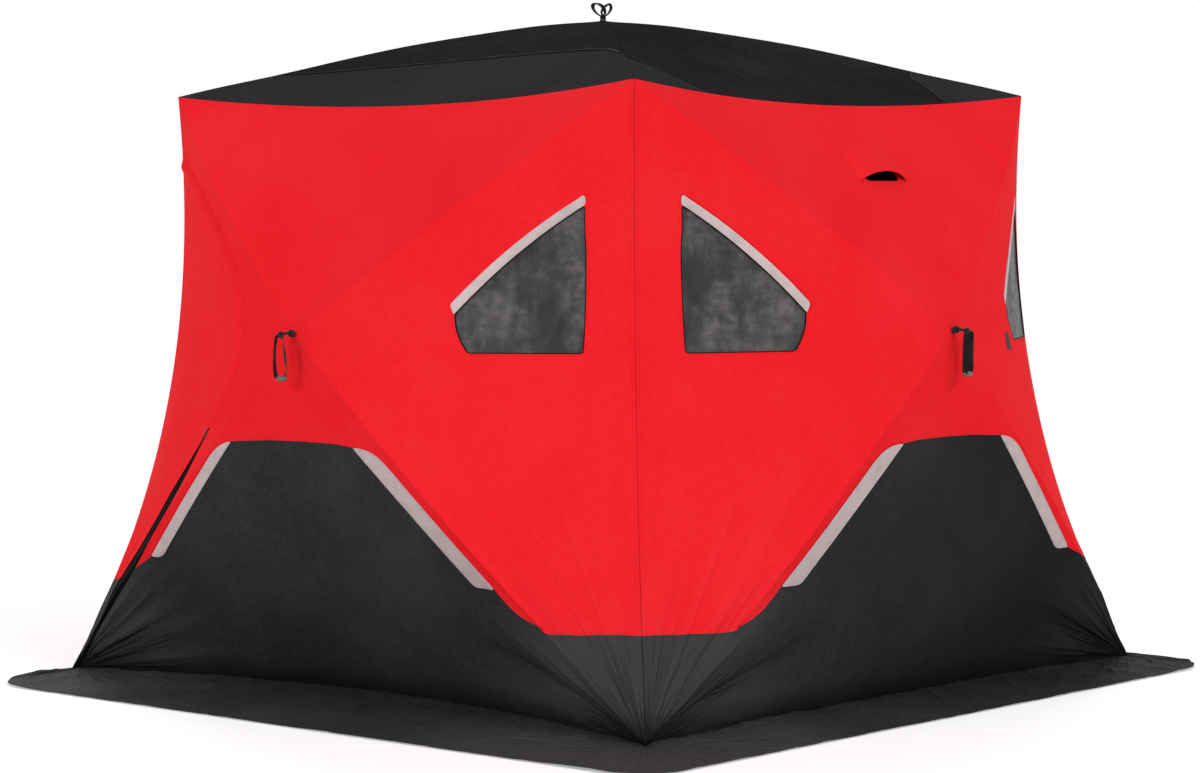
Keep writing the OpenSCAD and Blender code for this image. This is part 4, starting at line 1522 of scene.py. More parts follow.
@dataclass
class WallCloth:
    """One wall: a red upper panel, a black lower one, and their seams and openings."""

    wall: Wall
    spacing: float = 0.0145
    hub_hole: float = 0.0042
    vent_w: float = 0.156
    vent_top_drop: float = 0.020
    vent_lift: float = 0.001

    def patch(self, surface: WallSurface) -> Patch:
        """Cuts the wall along every edge that shows."""
        lines = [resample(SHAPES.panel_edge(self.wall), 0.010)]
        for side in self.wall.window_sides:
            lines.append(resample(looped(SHAPES.window(side)), 0.009))
        if self.wall.has_vent:
            lines.append(resample(looped(self.vent_loop()), 0.009))
        if self.wall.has_door:
            path = SHAPES.door_path()
            lines += [self.door_side(path, 1), self.door_side(path, -1)]
        turn = np.linspace(0, 2 * math.pi, 17)
        hub = surface.hub(0)[[0, 2]]
        lines.append(hub + self.hub_hole * np.stack([np.cos(turn), np.sin(turn)], 1))
        for corner in range(4):
            end = surface.pole_ends(corner)[1]
            lines.append(resample(mix(hub, end, np.array([0.03, 0.985])), 0.012))
        return Patch(surface.outline(), lines, self.spacing, self.close_points(surface, hub), 0.007)

    def close_points(self, surface: WallSurface, hub: Array) -> Array:
        """Points packed close where folds and ridges are."""
        sets = []
        for side in (-1, 1):
            step = 0.0235
            turns = np.arange(0.012, math.pi / 2 + 0.25, step)
            r, turn = np.meshgrid(0.03 * 1.052 ** np.arange(58), turns, indexing="ij")
            r, turn = r[r * step > 0.0028], turn[r * step > 0.0028]
            sets.append(np.stack([side * (SIZES.base_half - r * np.cos(turn)), r * np.sin(turn)], 1))
        for corner in range(4):
            end = surface.pole_ends(corner)[1]
            along = np.arange(0.05, float(np.linalg.norm(end - hub)) - 0.5 * (corner > 1), 0.012)
            d = unit(end - hub)
            side = np.array([-d[1], d[0]])
            for off in (-0.020, -0.0125, -0.006, 0.006, 0.0125, 0.020):
                sets.append(hub + along[:, None] * d + off * side)
        return np.concatenate(sets)

    @staticmethod
    def door_side(path: Array, side: int) -> Array:
        """One edge of the zip's slot, which gapes toward the floor, run on past the wall's outline."""
        ends = path[0] + (path[0] - path[1]) * 6, path[-1] + (path[-1] - path[-2]) * 6
        longer = np.concatenate([ends[:1], path, ends[1:]])
        gape = 0.45 + 1.65 * smooth(-longer[:, 1], -0.80, -0.55) - 1.20 * smooth(-longer[:, 1], -0.40, -0.12)
        return offset_line(longer, side * SHAPES.zip_w / 2 * gape)

    def vent_loop(self) -> Array:
        """The hole behind the vent's hood."""
        half = self.vent_w / 2
        low, high = VentHood.mouth_h + self.vent_lift, VentHood.top_h - self.vent_top_drop
        return rounded([(-half, low), (half, low), (half, high), (-half, high)], [0.01] * 4)

    def build(self, finishes: Finishes) -> list[Piece]:
        """Makes the wall's pieces.

        Args:
            finishes: The hut's finishes.

        Returns:
            The upper and lower panels, with the door's two after them on the front.
        """
        surface = WallSurface(self.wall)
        patch = self.patch(surface)
        centres = patch.centres
        keep = np.linalg.norm(centres - surface.hub(0)[[0, 2]], axis=1) > self.hub_hole
        for side in self.wall.window_sides:
            keep &= ~inside(centres, SHAPES.window(side))
        if self.wall.has_vent:
            keep &= ~inside(centres, self.vent_loop())
        patch.keep(keep)
        centres = patch.centres
        below = np.concatenate([SHAPES.panel_edge(self.wall), [[SHAPES.reach, -1], [-SHAPES.reach, -1]]])
        lower = inside(centres, below)
        parts = {f"{self.wall.label}_wall_upper": ~lower, f"{self.wall.label}_wall_lower": lower}
        if self.wall.has_door:
            path = SHAPES.door_path()
            flap = inside(centres, self.door_area(path, -1))
            zipped = inside(centres, self.door_area(path, 1))
            parts = {
                "front_wall_upper": ~lower & ~zipped,
                "front_wall_lower": lower & ~zipped,
                "door_flap": ~lower & flap,
                "door_flap_foot": lower & flap,
            }
        return [self.piece(surface, patch, name, chosen, finishes) for name, chosen in parts.items()]

    def door_area(self, path: Array, side: int) -> Array:
        """The region from one edge of the zip's slot out past the left seam."""
        edge = self.door_side(path, side)
        far = [[edge[-1][0], -1], [-3, -1], [-3, edge[0][1]]]
        return np.concatenate([edge, far])

    def piece(
        self, surface: WallSurface, patch: Patch, name: str, chosen: Array, finishes: Finishes
    ) -> Piece:
        """Makes one panel of the wall as a closed sheet."""
        used, faces = patch.part(chosen)
        plan = patch.points[used]
        outer, inner = surface.layers(plan, SIZES.cloth_t)
        faces = facing(outer, faces, self.wall.out)
        points, faces, part = shell(outer, inner, faces)
        red = "upper" in name or name == "door_flap"
        cloth = finishes.red if red else finishes.black
        which = np.where(part == 0, 0, 1)
        obj = mesh_object(name + "_cloth", points, faces, [cloth, finishes.lining], which, plan)
        settle(obj, "red_cloth" if red else "black_cloth", name)
        return obj


@dataclass
class RoofCloth:
    """One of the roof's four panels, with a second layer sewn along its edge."""

    wall: Wall
    spacing: float = 0.0145
    lap_edge: float = 0.0034

    def build(self, finishes: Finishes) -> Piece:
        """Makes the panel as a closed sheet."""
        surface = RoofSurface(self.wall)
        lines = [offset_line(line, off) for line in surface.seams() for off in (-0.006, 0.0, 0.006)]
        patch = Patch(surface.outline(), lines, self.spacing)
        used, faces = patch.part(np.ones(len(patch.triangles), bool))
        plan = patch.points[used]
        outer, inner = surface.layers(plan, SIZES.cloth_t)
        faces = facing(outer, faces, np.array([0.0, 0.0, 1.0]))
        points, faces, part = shell(outer, inner, faces)
        name = f"roof_{self.wall.label}"
        banded = surface.in_band(plan[faces[part == 0]].mean(1))
        which = np.where(part == 1, 1, 0)
        which[part == 0] = np.where(banded, 2, 0)
        cloths = [finishes.roof, finishes.lining, finishes.roof_band]
        obj = mesh_object(name + "_cloth", points, faces, cloths, which, plan)
        settle(obj, "roof_cloth", name)
        thread = Sewing(surface)
        for line in surface.seams():
            for off in (-0.004, 0.0, 0.004):
                row = offset_line(line, off)
                clear = row[:, 1] > np.abs(row[:, 0]) + 0.006
                row = row[clear & (row[:, 1] < SIZES.roof_half - SIZES.eave_in)]
                if off:
                    thread.row(row)
                    continue
                uneven = self.lap_edge * (1 + 0.5 * lattice(row @ [60.0, 23.0], row[:, 0], 33))
                thread.cord(surface.lay(row, 0.0012), uneven)
        eave = SIZES.eave(np.linspace(0.02, 0.98, 200), 0)[:, :2] - [0, 0.012]
        thread.row(eave)
        thread.build(f"roof_{self.wall.label}_stitches", finishes.dark_thread, "roof_cloth")
        return obj


@dataclass
class Skirt:
    """One side of the skirt that lies on the floor and is weighed down with snow."""

    wall: Wall
    reaches: tuple[float, ...] = (0.385, 0.330, 0.060, 0.012)
    corner_r: tuple[float, ...] = (0.150, 0.250, 0.150, 0.250)
    thickness: float = 0.0025
    hem: float = 0.022
    tuck: float = 0.022
    edge_in: float = 0.010
    wobble: float = 0.0018
    across: int = 34
    along: int = 250

    def reach(self, turn: int) -> float:
        """Distance from the hut's middle to the skirt's outer edge, some quarter turns on."""
        return SIZES.base_half + self.reaches[(self.wall.value + turn) % 4]

    def outer_edge(self) -> Array:
        """Points of the outer edge, from the right corner's middle to the left one's."""
        out, turn = self.reach(0), np.linspace(math.pi / 4, math.pi / 2, 12)
        ends = []
        for side, corner, beside in ((1, self.wall.value, 1), (-1, self.wall.value - 1, 3)):
            r = self.corner_r[corner]
            x = side * (self.reach(beside) - r + r * np.cos(turn))
            ends.append(np.stack([x, out - r + r * np.sin(turn)], 1))
        right, left = ends
        line = resample(np.concatenate([right, left[::-1]]), 0.004)
        at = np.linspace(0, len(line) - 1, self.along)
        return np.stack([np.interp(at, np.arange(len(line)), line[:, k]) for k in (0, 1)], 1)

    def height(self, plan: Array, share: Array, end: Array) -> Array:
        """How high the skirt's top lies over the floor.

        Args:
            plan: Points, along and outward.
            share: How far each lies from the wall to the outer edge.
            end: How near each lies to a corner, from 0 to 1.

        Returns:
            The heights.
        """
        seed = 301 + 13 * self.wall.value
        s, o = plan[:, 0], plan[:, 1]
        rolls = 1 - np.abs(lattice(s * 5.5, o * 2.4 + 0.6 * lattice(s * 2, o * 2, seed + 4), seed))
        fine = lattice(s * 21, o * 15, seed + 1)
        cross = 1 - np.abs(lattice((s + o) * 8, (s - o) * 3.2, seed + 2))
        wave = 7.0 * rolls**3 + 2.0 * fine + 5.0 * cross**5
        near = smooth(share, 0.0, 0.10)
        meets = 1 - smooth(end, 0.965, 1.0)
        wave = np.maximum(wave, 0) * near * meets * (1 - 0.75 * smooth(share, 0.7, 1.0))
        height = SIZES.skirt_t - 0.0005 + MM * wave
        gather = (1 - np.abs(lattice(s * 30, o * 0 + 0.5, seed + 3))) ** 2
        height += 0.0035 * gather * np.exp(-share / 0.16) * smooth(share, 0.0, 0.03)
        height += 0.010 * end**6 * meets * smooth(share, 0.25, 0.8) * np.abs(lattice(s * 7, o * 7, seed + 9))
        return height

    def build(self, finishes: Finishes) -> Piece:
        """Makes this side of the skirt as a closed sheet."""
        share = np.linspace(0, 1, self.along)
        outer = self.outer_edge()
        inner = SIZES.foot(self.wall, share, SIZES.cloth_t + self.tuck)
        uneven = lattice(share * 8, 0 * share, 77 + self.wall.value) * smooth(share * (1 - share), 0, 0.02)
        diagonal = unit(np.stack([np.sign(outer[:, 0]), np.ones(self.along)], 1))
        straight = np.tile([0.0, 1.0], (self.along, 1))
        inward = mix(straight, diagonal, np.abs(2 * share - 1) ** 12)
        outer = outer - inward * (self.edge_in + self.wobble * uneven)[:, None]
        hem = [0.925, 0.945, 0.96, 0.975, 0.99, 1.0]
        steps = np.concatenate([np.linspace(0, 0.9, self.across - len(hem)), hem])
        plan = mix(inner[None, :, :2], outer[None], steps[:, None] + 0 * share[None]).reshape(-1, 2)
        across = np.repeat(steps, self.along)
        end = np.tile(np.abs(2 * share - 1), len(steps))
        rise = np.tile(inner[:, 2] - SIZES.skirt_t, len(steps)) * np.maximum(0, 1 - across / 0.45)
        top = self.height(plan, across, end) + rise
        top += 0.0012 * smooth(across, 1 - self.hem / 0.3, 1 - self.hem / 0.3 + 0.012)
        upper = self.wall.stand(np.concatenate([plan, top[:, None]], 1))
        lower = self.wall.stand(np.concatenate([plan, np.maximum(top - self.thickness, 0.0002)[:, None]], 1))
        faces = facing(upper, grid_triangles(len(steps), self.along), np.array([0, 0, 1.0]))
        points, faces, part = shell(upper, lower, faces)
        name = f"skirt_{self.wall.label}"
        obj = mesh_object(name + "_cloth", points, faces, [finishes.skirt], 0, plan)
        settle(obj, "skirt_cloth", name)
        return obj


# ---- What is sewn on -------------------------------------------------------


@dataclass
class Windows:
    """A wall's panes of smoked vinyl, behind the openings in its cloth."""

    wall: Wall
    lap: float = 0.016
    behind: float = 0.0034
    spacing: float = 0.0085
    thickness: float = 0.001

    def build(self, finishes: Finishes) -> Piece:
        """Makes the wall's panes as one piece."""
        surface = WallSurface(self.wall)
        parts, plans = [], []
        for side in self.wall.window_sides:
            loop = resample(SHAPES.window(side), 0.009)
            patch = Patch(self.grown(side), [looped(loop)], self.spacing)
            lift = self.dip(patch.points, side) - self.behind
            parts.append(on_cloth(surface, patch.points, patch.triangles, lift, self.thickness)[:2])
            plans += [patch.points] * 2
        points, faces = join(parts)
        name = f"{self.wall.label}_window" + ("" if self.wall.has_door else "s")
        obj = mesh_object(name + "_pane", points, faces, [finishes.vinyl], 0, np.concatenate(plans))
        return settle(obj, "vinyl", name)

    def grown(self, side: int) -> Array:
        """A pane's outline, out under the cloth all round."""
        c = SHAPES.window_corners()
        loop = np.array([c["tip_low"], c["top_low"], c["sill_out"], c["sill_in"]])
        middle = loop.mean(0)
        away = unit(loop - middle) * self.lap * 1.5
        return SHAPES.bent(resample(looped(loop + away), 0.009)[:-1]) * [side, 1]

    def dip(self, plan: Array, side: int) -> Array:
        """How far the slack vinyl stands in front of its edge, or behind it."""
        loop = SHAPES.window(side)
        depth = distance_in(plan, loop)
        s, z = plan[:, 0] * side, plan[:, 1]
        seed = 401 + self.wall.value + side
        folds = 1 - np.abs(lattice((s * 0.45 + z * 0.9) * 6, (s - z * 0.3) * 15, seed))
        drape = lattice(s * 7, z * 4, seed + 1)
        fine = lattice((s + z) * 26, (s - z) * 12, seed + 2)
        return smooth(depth, 0.0, 0.03) * MM * (2.4 * (folds**3 - 0.45) + 2.0 * drape + 0.4 * fine - 2.0)


@dataclass
class Strips:
    """A wall's reflective strips: down both slopes of its panel and over its windows."""

    wall: Wall
    spacing: float = 0.008
    lift: float = 0.0009
    thickness: float = 0.0009

    def build(self, finishes: Finishes) -> Piece:
        """Makes all the wall's strips as one piece."""
        surface = WallSurface(self.wall)
        parts, plans = [], []
        for loop in self.loops():
            patch = Patch(resample(looped(loop), 0.004)[:-1], [], self.spacing)
            dome = self.lift + 0.0005 * smooth(distance_in(patch.points, loop), 0.0, 0.004)
            parts.append(on_cloth(surface, patch.points, patch.triangles, dome, self.thickness)[:2])
            plans += [patch.points] * 2
        points, faces = join(parts)
        name = f"{self.wall.label}_strips"
        obj = mesh_object(name + "_tape", points, faces, [finishes.tape], 0, np.concatenate(plans))
        return settle(obj, "reflective_strip", name)

    def loops(self) -> list[Array]:
        """Each strip's outline."""
        found = [SHAPES.slope_strip(self.wall, side) * [side, 1] for side in (-1, 1)]
        c = SHAPES.window_corners()
        corners = [c["tip"], c["top"], c["top_low"], c["tip_low"]]
        loop = rounded(corners, [0.006, 0.012, 0.003, 0.003], 8)
        loop = SHAPES.bent(resample(looped(loop), 0.006)[:-1])
        return found + [loop * [side, 1] for side in self.wall.window_sides]


@dataclass
class DoorZip:
    """The door's zip: tape and coil down its curve, under a flap of cloth for most of it."""

    tape_w: float = 0.056
    tape_t: float = 0.0009
    tape_cols: int = 9
    cover_t: float = 0.0012
    cover_cols: int = 15
    coil_w: float = 0.0065
    tooth_pitch: float = 0.0042
    cover_w: float = 0.050
    cover_end_h: float = 0.800

    def build(self, finishes: Finishes) -> list[Piece]:
        """Makes the tape with its coil, the cover and the pull."""
        surface = WallSurface(Wall.FRONT)
        path = SHAPES.door_path()
        plan, share = ribbon_grid(path, np.full(len(path), self.tape_w / 2), self.tape_cols)
        groove = -0.0036 + 0.0004 * np.abs(share)
        grid = grid_triangles(len(path), self.tape_cols)
        points, faces, _ = on_cloth(surface, plan, grid, groove, self.tape_t)
        length = run_of(path)
        uv = np.stack([np.repeat(length, self.tape_cols), share * self.tape_w / 2], 1)
        # The tape's near-black finish also paints the shade inside the zip's gaping slot.
        tape = mesh_object("door_zip_tape", points, faces, [finishes.zip_tape], 0, uv)
        settle(tape, "zip", "door_zip")
        coil = mesh_object("door_zip_coil", *self.coil(surface, path), [finishes.dark_thread])
        settle(coil, "zip")
        return [tape, coil, self.cover(surface, path, finishes), self.pull(surface, path, finishes)]

    def coil(self, surface: WallSurface, path: Array) -> Pair:
        """Teeth from either side in turn, along the middle of the tape."""
        at = resample(path, self.tooth_pitch)[2:-2]
        side = left_of(at) * np.where(np.arange(len(at)) % 2, 1, -1)[:, None]
        root, tip = at + side * self.coil_w / 2, at - side * self.coil_w * 0.2
        rings = []
        for share, lift in ((1.0, -0.0034), (0.7, -0.0016)):
            thick = unit(np.gradient(at, axis=0)) * self.tooth_pitch * 0.36 * share
            rings += [surface.lay(p, lift) for p in (root - thick, root + thick, tip + thick, tip - thick)]
        quads = [[0, 1, 2, 3], [7, 6, 5, 4], [0, 4, 5, 1], [1, 5, 6, 2], [2, 6, 7, 3], [3, 7, 4, 0]]
        faces = np.array([t for a, b, c, e in quads for t in ((a, b, c), (a, c, e))])
        return repeated(np.stack(rings, 1), faces)

    def cover(self, surface: WallSurface, path: Array, finishes: Finishes) -> Piece:
        """The flap of red cloth over the zip, from the seam to where the opening shows."""
        line = path[path[:, 1] > self.cover_end_h]
        line = offset_line(line, 0.002)
        line = line[np.abs(line[:, 0]) < SIZES.seam_half(line[:, 1]) - 0.004]
        t = np.linspace(0, 1, len(line))
        half = self.cover_w / 2 * (1 - 0.5 * smooth(t, 0.9, 1.0))
        plan, share = ribbon_grid(line, half, self.cover_cols)
        ridge = 0.0010 + 0.0120 * np.maximum(1 - np.abs(share) ** 2.2, 0) ** 1.4
        start = np.repeat(smooth(t, 0.0, 0.03) * (1 - 0.4 * smooth(t, 0.93, 1.0)), self.cover_cols)
        slack = 0.0007 * lattice(np.repeat(t, self.cover_cols) * 40, share * 1.5, 611)
        lift = ridge * (0.35 + 0.65 * start) + slack * (1 - share**2)
        grid = grid_triangles(len(line), self.cover_cols)
        points, faces, _ = on_cloth(surface, plan, grid, lift, self.cover_t)
        obj = mesh_object("door_zip_cover", points, faces, [finishes.red], 0, plan)
        settle(obj, "red_cloth")
        return obj

    def pull(self, surface: WallSurface, path: Array, finishes: Finishes) -> Piece:
        """The slider and its pull, where the cover ends."""
        at = path[np.argmin(np.abs(path[:, 1] - (self.cover_end_h - 0.012)))]
        nearby = path[np.argmin(np.abs(path[:, 1] - (self.cover_end_h - 0.050)))]
        d = unit(nearby - at)
        line = at + d * np.linspace(-0.010, 0.010, 9)[:, None]
        body = surface.lay(line, 0.0006)
        along = unit(np.gradient(body, axis=0))
        up = np.tile(surface.wall.stand(surface.normals(line[4:5])), (9, 1))
        side = unit(np.cross(along, up))
        swell = 0.55 + 0.45 * np.sin(np.linspace(0.15, math.pi - 0.3, 9))
        section = circle(16) * [0.0065, 0.0040] * swell[:, None, None]
        parts = [sweep(body, section, side, up)]
        hang = np.linspace(0, 1, 14)[:, None]
        drop = body[4] + up[0] * 0.0055 + (np.array([0.0, 0.0, -0.055]) + up[0] * -0.001) * hang
        tongue = circle(16) * [0.0034, 0.0011] * (0.75 + 0.35 * hang[:, :, None])
        across = np.tile(unit(np.cross([0, 0, 1.0], up[0])), (14, 1))
        parts.append(sweep(drop, tongue, across, np.tile(up[0], (14, 1))))
        points, faces = join(parts)
        return settle(mesh_object("door_zip_pull", points, faces, [finishes.hub]), "zip")


@dataclass
class VentHood:
    """A small hood of red cloth over a vent, held open by a stiff lower edge."""

    wall: Wall
    width: float = 0.236
    top_h: float = 1.698
    mouth_h: float = 1.522
    gap: float = 0.030
    arch: float = 0.012
    thickness: float = 0.003
    rows: int = 22
    cols: int = 44

    def build(self, finishes: Finishes) -> Piece:
        """Makes the hood as a closed sheet."""
        surface = WallSurface(self.wall)
        row, col = np.meshgrid(np.linspace(0, 1, self.rows), np.linspace(-1, 1, self.cols), indexing="ij")
        row, col = row.ravel(), col.ravel()
        plan = np.stack([col * self.width / 2, self.top_h + (self.mouth_h - self.top_h) * row], 1)
        plan[:, 1] += self.arch * (1 - col**2) * row**3
        puff = self.gap * row**1.25 * (1 - np.abs(col) ** 2.6) ** 1.1
        puff += 0.0014 * lattice(col * 4, row * 3, 711) * row * (1 - col**2)
        thickness = self.thickness * np.minimum(1, 0.3 + puff / 0.006)
        grid = grid_triangles(self.rows, self.cols)
        points, faces, part = on_cloth(surface, plan, grid, 0.0012 + puff, thickness)
        which = np.where(part == 1, 1, 0)
        name = f"vent_hood_{self.wall.label}"
        obj = mesh_object(name, points, faces, [finishes.red, finishes.lining], which, plan)
        settle(obj, "red_cloth", "vent_hoods")
        return obj


@dataclass
class PullTab:
    """A short black tab sewn flat beside the right wall's window."""

    side: float = 0.440
    low: float = 1.014
    width: float = 0.040
    length: float = 0.052
    thickness: float = 0.0011

    def build(self, finishes: Finishes) -> Piece:
        """Makes the tab, folded over at its free lower end."""
        surface = WallSurface(Wall.RIGHT)
        x, t = np.meshgrid(np.linspace(0, 1, 15), np.linspace(0, 1, 24), indexing="xy")
        x, t = x.ravel(), t.ravel()
        plan = np.stack([self.side + self.width * x, self.low + self.length * (1 - t)], 1)
        raised = 0.0012 + 0.0020 * smooth(t, 0.5, 1.0) + 0.0004 * lattice(x * 3, t * 3, 731)
        points, faces, _ = on_cloth(surface, plan, grid_triangles(24, 15), raised, self.thickness)
        obj = mesh_object("pull_tab_cloth", points, faces, [finishes.webbing], 0, plan[:, ::-1])
        return settle(obj, "webbing", "pull_tab")


@dataclass
class Stitching:
    """The rows of stitches that hold one wall's panels, strips and windows."""

    wall: Wall
    inset: float = 0.006
    piping: float = 0.0017

    def build(self, finishes: Finishes) -> list[Piece]:
        """Sews the wall in dark thread and in red."""
        surface = WallSurface(self.wall)
        dark, red = Sewing(surface), Sewing(surface)
        for line in self.within(SHAPES.panel_edge(self.wall)):
            red.row(offset_line(line, 0.0045))
            dark.row(offset_line(line, -0.0045))
        for loop in Strips(self.wall).loops():
            dark.row(offset_line(resample(looped(loop), 0.006), -0.0035), 0.0022)
        for side in self.wall.window_sides:
            red.row(looped(SHAPES.window(side, self.inset)))
            dark.cord(surface.lay(looped(SHAPES.window(side, -0.001)), -0.0006), self.piping)
        corner = SIZES.seam(1, np.linspace(0.0, 1.0, 160), 0.001)
        above = corner[:, 2] > SHAPES.side_h(self.wall, 1)
        dark.cord(self.wall.stand(corner[~above]), 0.6 * self.piping)
        red.cord(self.wall.stand(corner[above]), 0.5 * self.piping)
        rise = np.linspace(0.02, 0.985, 260)
        for side in (-1, 1):
            seam = SIZES.seam(side, rise, 0)[:, [0, 2]] - [side * 0.009, 0]
            meets = SHAPES.side_h(self.wall, side)
            red.row(seam[seam[:, 1] > meets])
            dark.row(seam[seam[:, 1] < meets])
        x = np.linspace(0.02, 0.98, 240)
        red.row(SIZES.eave(x, 0)[:, [0, 2]] - [0, 0.010])
        dark.row(SIZES.foot(self.wall, x, 0)[:, [0, 2]] + [0, 0.014])
        label = self.wall.label
        return [
            dark.build(f"{label}_dark_stitches", finishes.dark_thread, "black_cloth"),
            red.build(f"{label}_red_stitches", finishes.red_thread, "red_cloth"),
        ]

    def within(self, line: Array) -> list[Array]:
        """The stretches of a line that lie on this wall's cloth, clear of the door's slot."""
        at = resample(line, 0.006)
        good = np.abs(at[:, 0]) < SIZES.seam_half(at[:, 1]) - 0.004
        if self.wall.has_door:
            good &= ~near_lines(at, [SHAPES.door_path()], SHAPES.zip_w + 0.004)
        breaks = np.flatnonzero(np.diff(good.astype(int))) + 1
        runs = np.split(np.arange(len(at)), breaks)
        return [at[run] for run in runs if good[run[0]] and len(run) > 3]


# ---- Frame and fittings ----------------------------------------------------


@dataclass
class Poles:
    """The bent rods from each hub to its corners, with a joint in the middle of each."""

    radius: float = 0.0055
    socket: float = 0.0625
    socket_r: float = 0.009
    corner_d: float = 0.040

    @property
    def depth(self) -> float:
        """Depth of the rods' centre lines behind the outer face of the cloth."""
        return SIZES.cloth_t + 1.25 * self.socket_r + 0.001

    def end(self, corner: int) -> Array:
        """Where a rod's line ends, inside a corner block."""
        if corner < 2:
            return SIZES.roof_corner(2 * corner - 1, SIZES.cloth_t + 1.1 * self.corner_d / 2 + 0.001)
        reach = SIZES.base_half - self.corner_d / 2 - 0.026
        return np.array([reach if corner == 2 else -reach, reach, 0.018])

    def line(self, start: Array, end: Array, lift: Array, rise: float, square: bool = True) -> Array:
        """The middle of a rod between its two sockets.

        Args:
            start: The hub's point.
            end: The corner's point.
            lift: The way that the rod bows.
            rise: How far it bows.
            square: Whether it bows at right angles to its run.

        Returns:
            The line.
        """
        run = end - start
        length = float(np.linalg.norm(run))
        x = np.linspace(self.socket / length, 1 - self.socket / length, 60)
        if square:
            lift = unit(lift - run * (run @ lift) / (run @ run))
        return start + run * x[:, None] + lift * (rise * bow(x))[:, None]

    def rod(self, line: Array) -> Pair:
        """A rod with a sleeve over the joint in its middle."""
        t = np.linspace(-1, 1, len(line))
        sleeve = 1 + 0.28 * smooth(-np.abs(t), -0.085, -0.075)
        return tube(line, self.radius * sleeve, 14)

    def build(self, finishes: Finishes) -> list[Piece]:
        """Makes the rods of every wall and of the roof."""
        made = []
        outward, upward = np.array([0.0, 1.0, 0.0]), np.array([0.0, 0.0, 1.0])
        for wall in Wall:
            hub = np.array([0, SIZES.hub_out - self.depth, SIZES.hub_h])
            lines = [wall.stand(self.line(hub, self.end(k), outward, SIZES.pole_bow)) for k in range(4)]
            made.append(self.piece(f"{wall.label}_poles", lines, finishes))
        apex = np.array([0, 0, SIZES.apex_h - self.depth])
        ridge = self.line(apex, self.end(1), upward, SIZES.ridge_bow, square=False)
        made.append(self.piece("roof_poles", [wall.stand(ridge) for wall in Wall], finishes))
        return made

    def piece(self, name: str, lines: Sequence[Array], finishes: Finishes) -> Piece:
        """Makes one node's rods as one piece."""
        obj = mesh_object(name + "_rods", *join([self.rod(line) for line in lines]), [finishes.pole])
        return settle(obj, "pole", name)


@dataclass
class Fittings:
    """The hubs and corner blocks, which keep their own shape and take a moulded finish."""

    nodes: tuple[str, ...] = ("front_hub", "right_hub", "back_hub", "left_hub", "roof_hub")
    blocks: tuple[str, ...] = ("roof_corner_blocks", "base_corner_blocks")

    def dress(self, finishes: Finishes) -> None:
        """Gives each its finish."""
        for name in self.nodes + self.blocks:
            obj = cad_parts[name]
            obj.data.materials.clear()
            obj.data.materials.append(finishes.hub)
            LOG.info("%s: moulded finish", name)


def band(line: Array, across: Array, width: Array, thick: float, cols: int = 9) -> tuple:
    """A flat strap carried along a line.

    Args:
        line: Its middle.
        across: The direction of its width at each point.
        width: Its width at each point.
        thick: Its thickness.
        cols: Points across each face.

    Returns:
        Points, triangles, and places on the cloth.
    """
    d = unit(np.gradient(line, axis=0))
    across = unit(across - d * np.einsum("ij,ij->i", across, d)[:, None])
    up = np.cross(d, across)
    x = np.linspace(-1, 1, cols)
    edge = thick / 2 * np.sqrt(np.maximum(1 - np.abs(x) ** 6, 0.05))
    section = np.concatenate([np.stack([x, edge], 1), np.stack([x[::-1], -edge[::-1]], 1)])
    shape = np.repeat(section[None], len(line), 0)
    shape[..., 0] *= width[:, None] / 2
    points, faces = sweep(line, shape, across, up)
    uv = np.stack([np.repeat(run_of(line), 2 * cols), shape[..., 0].ravel()], 1)
    return points, faces, np.concatenate([uv, uv[:1], uv[-1:]])


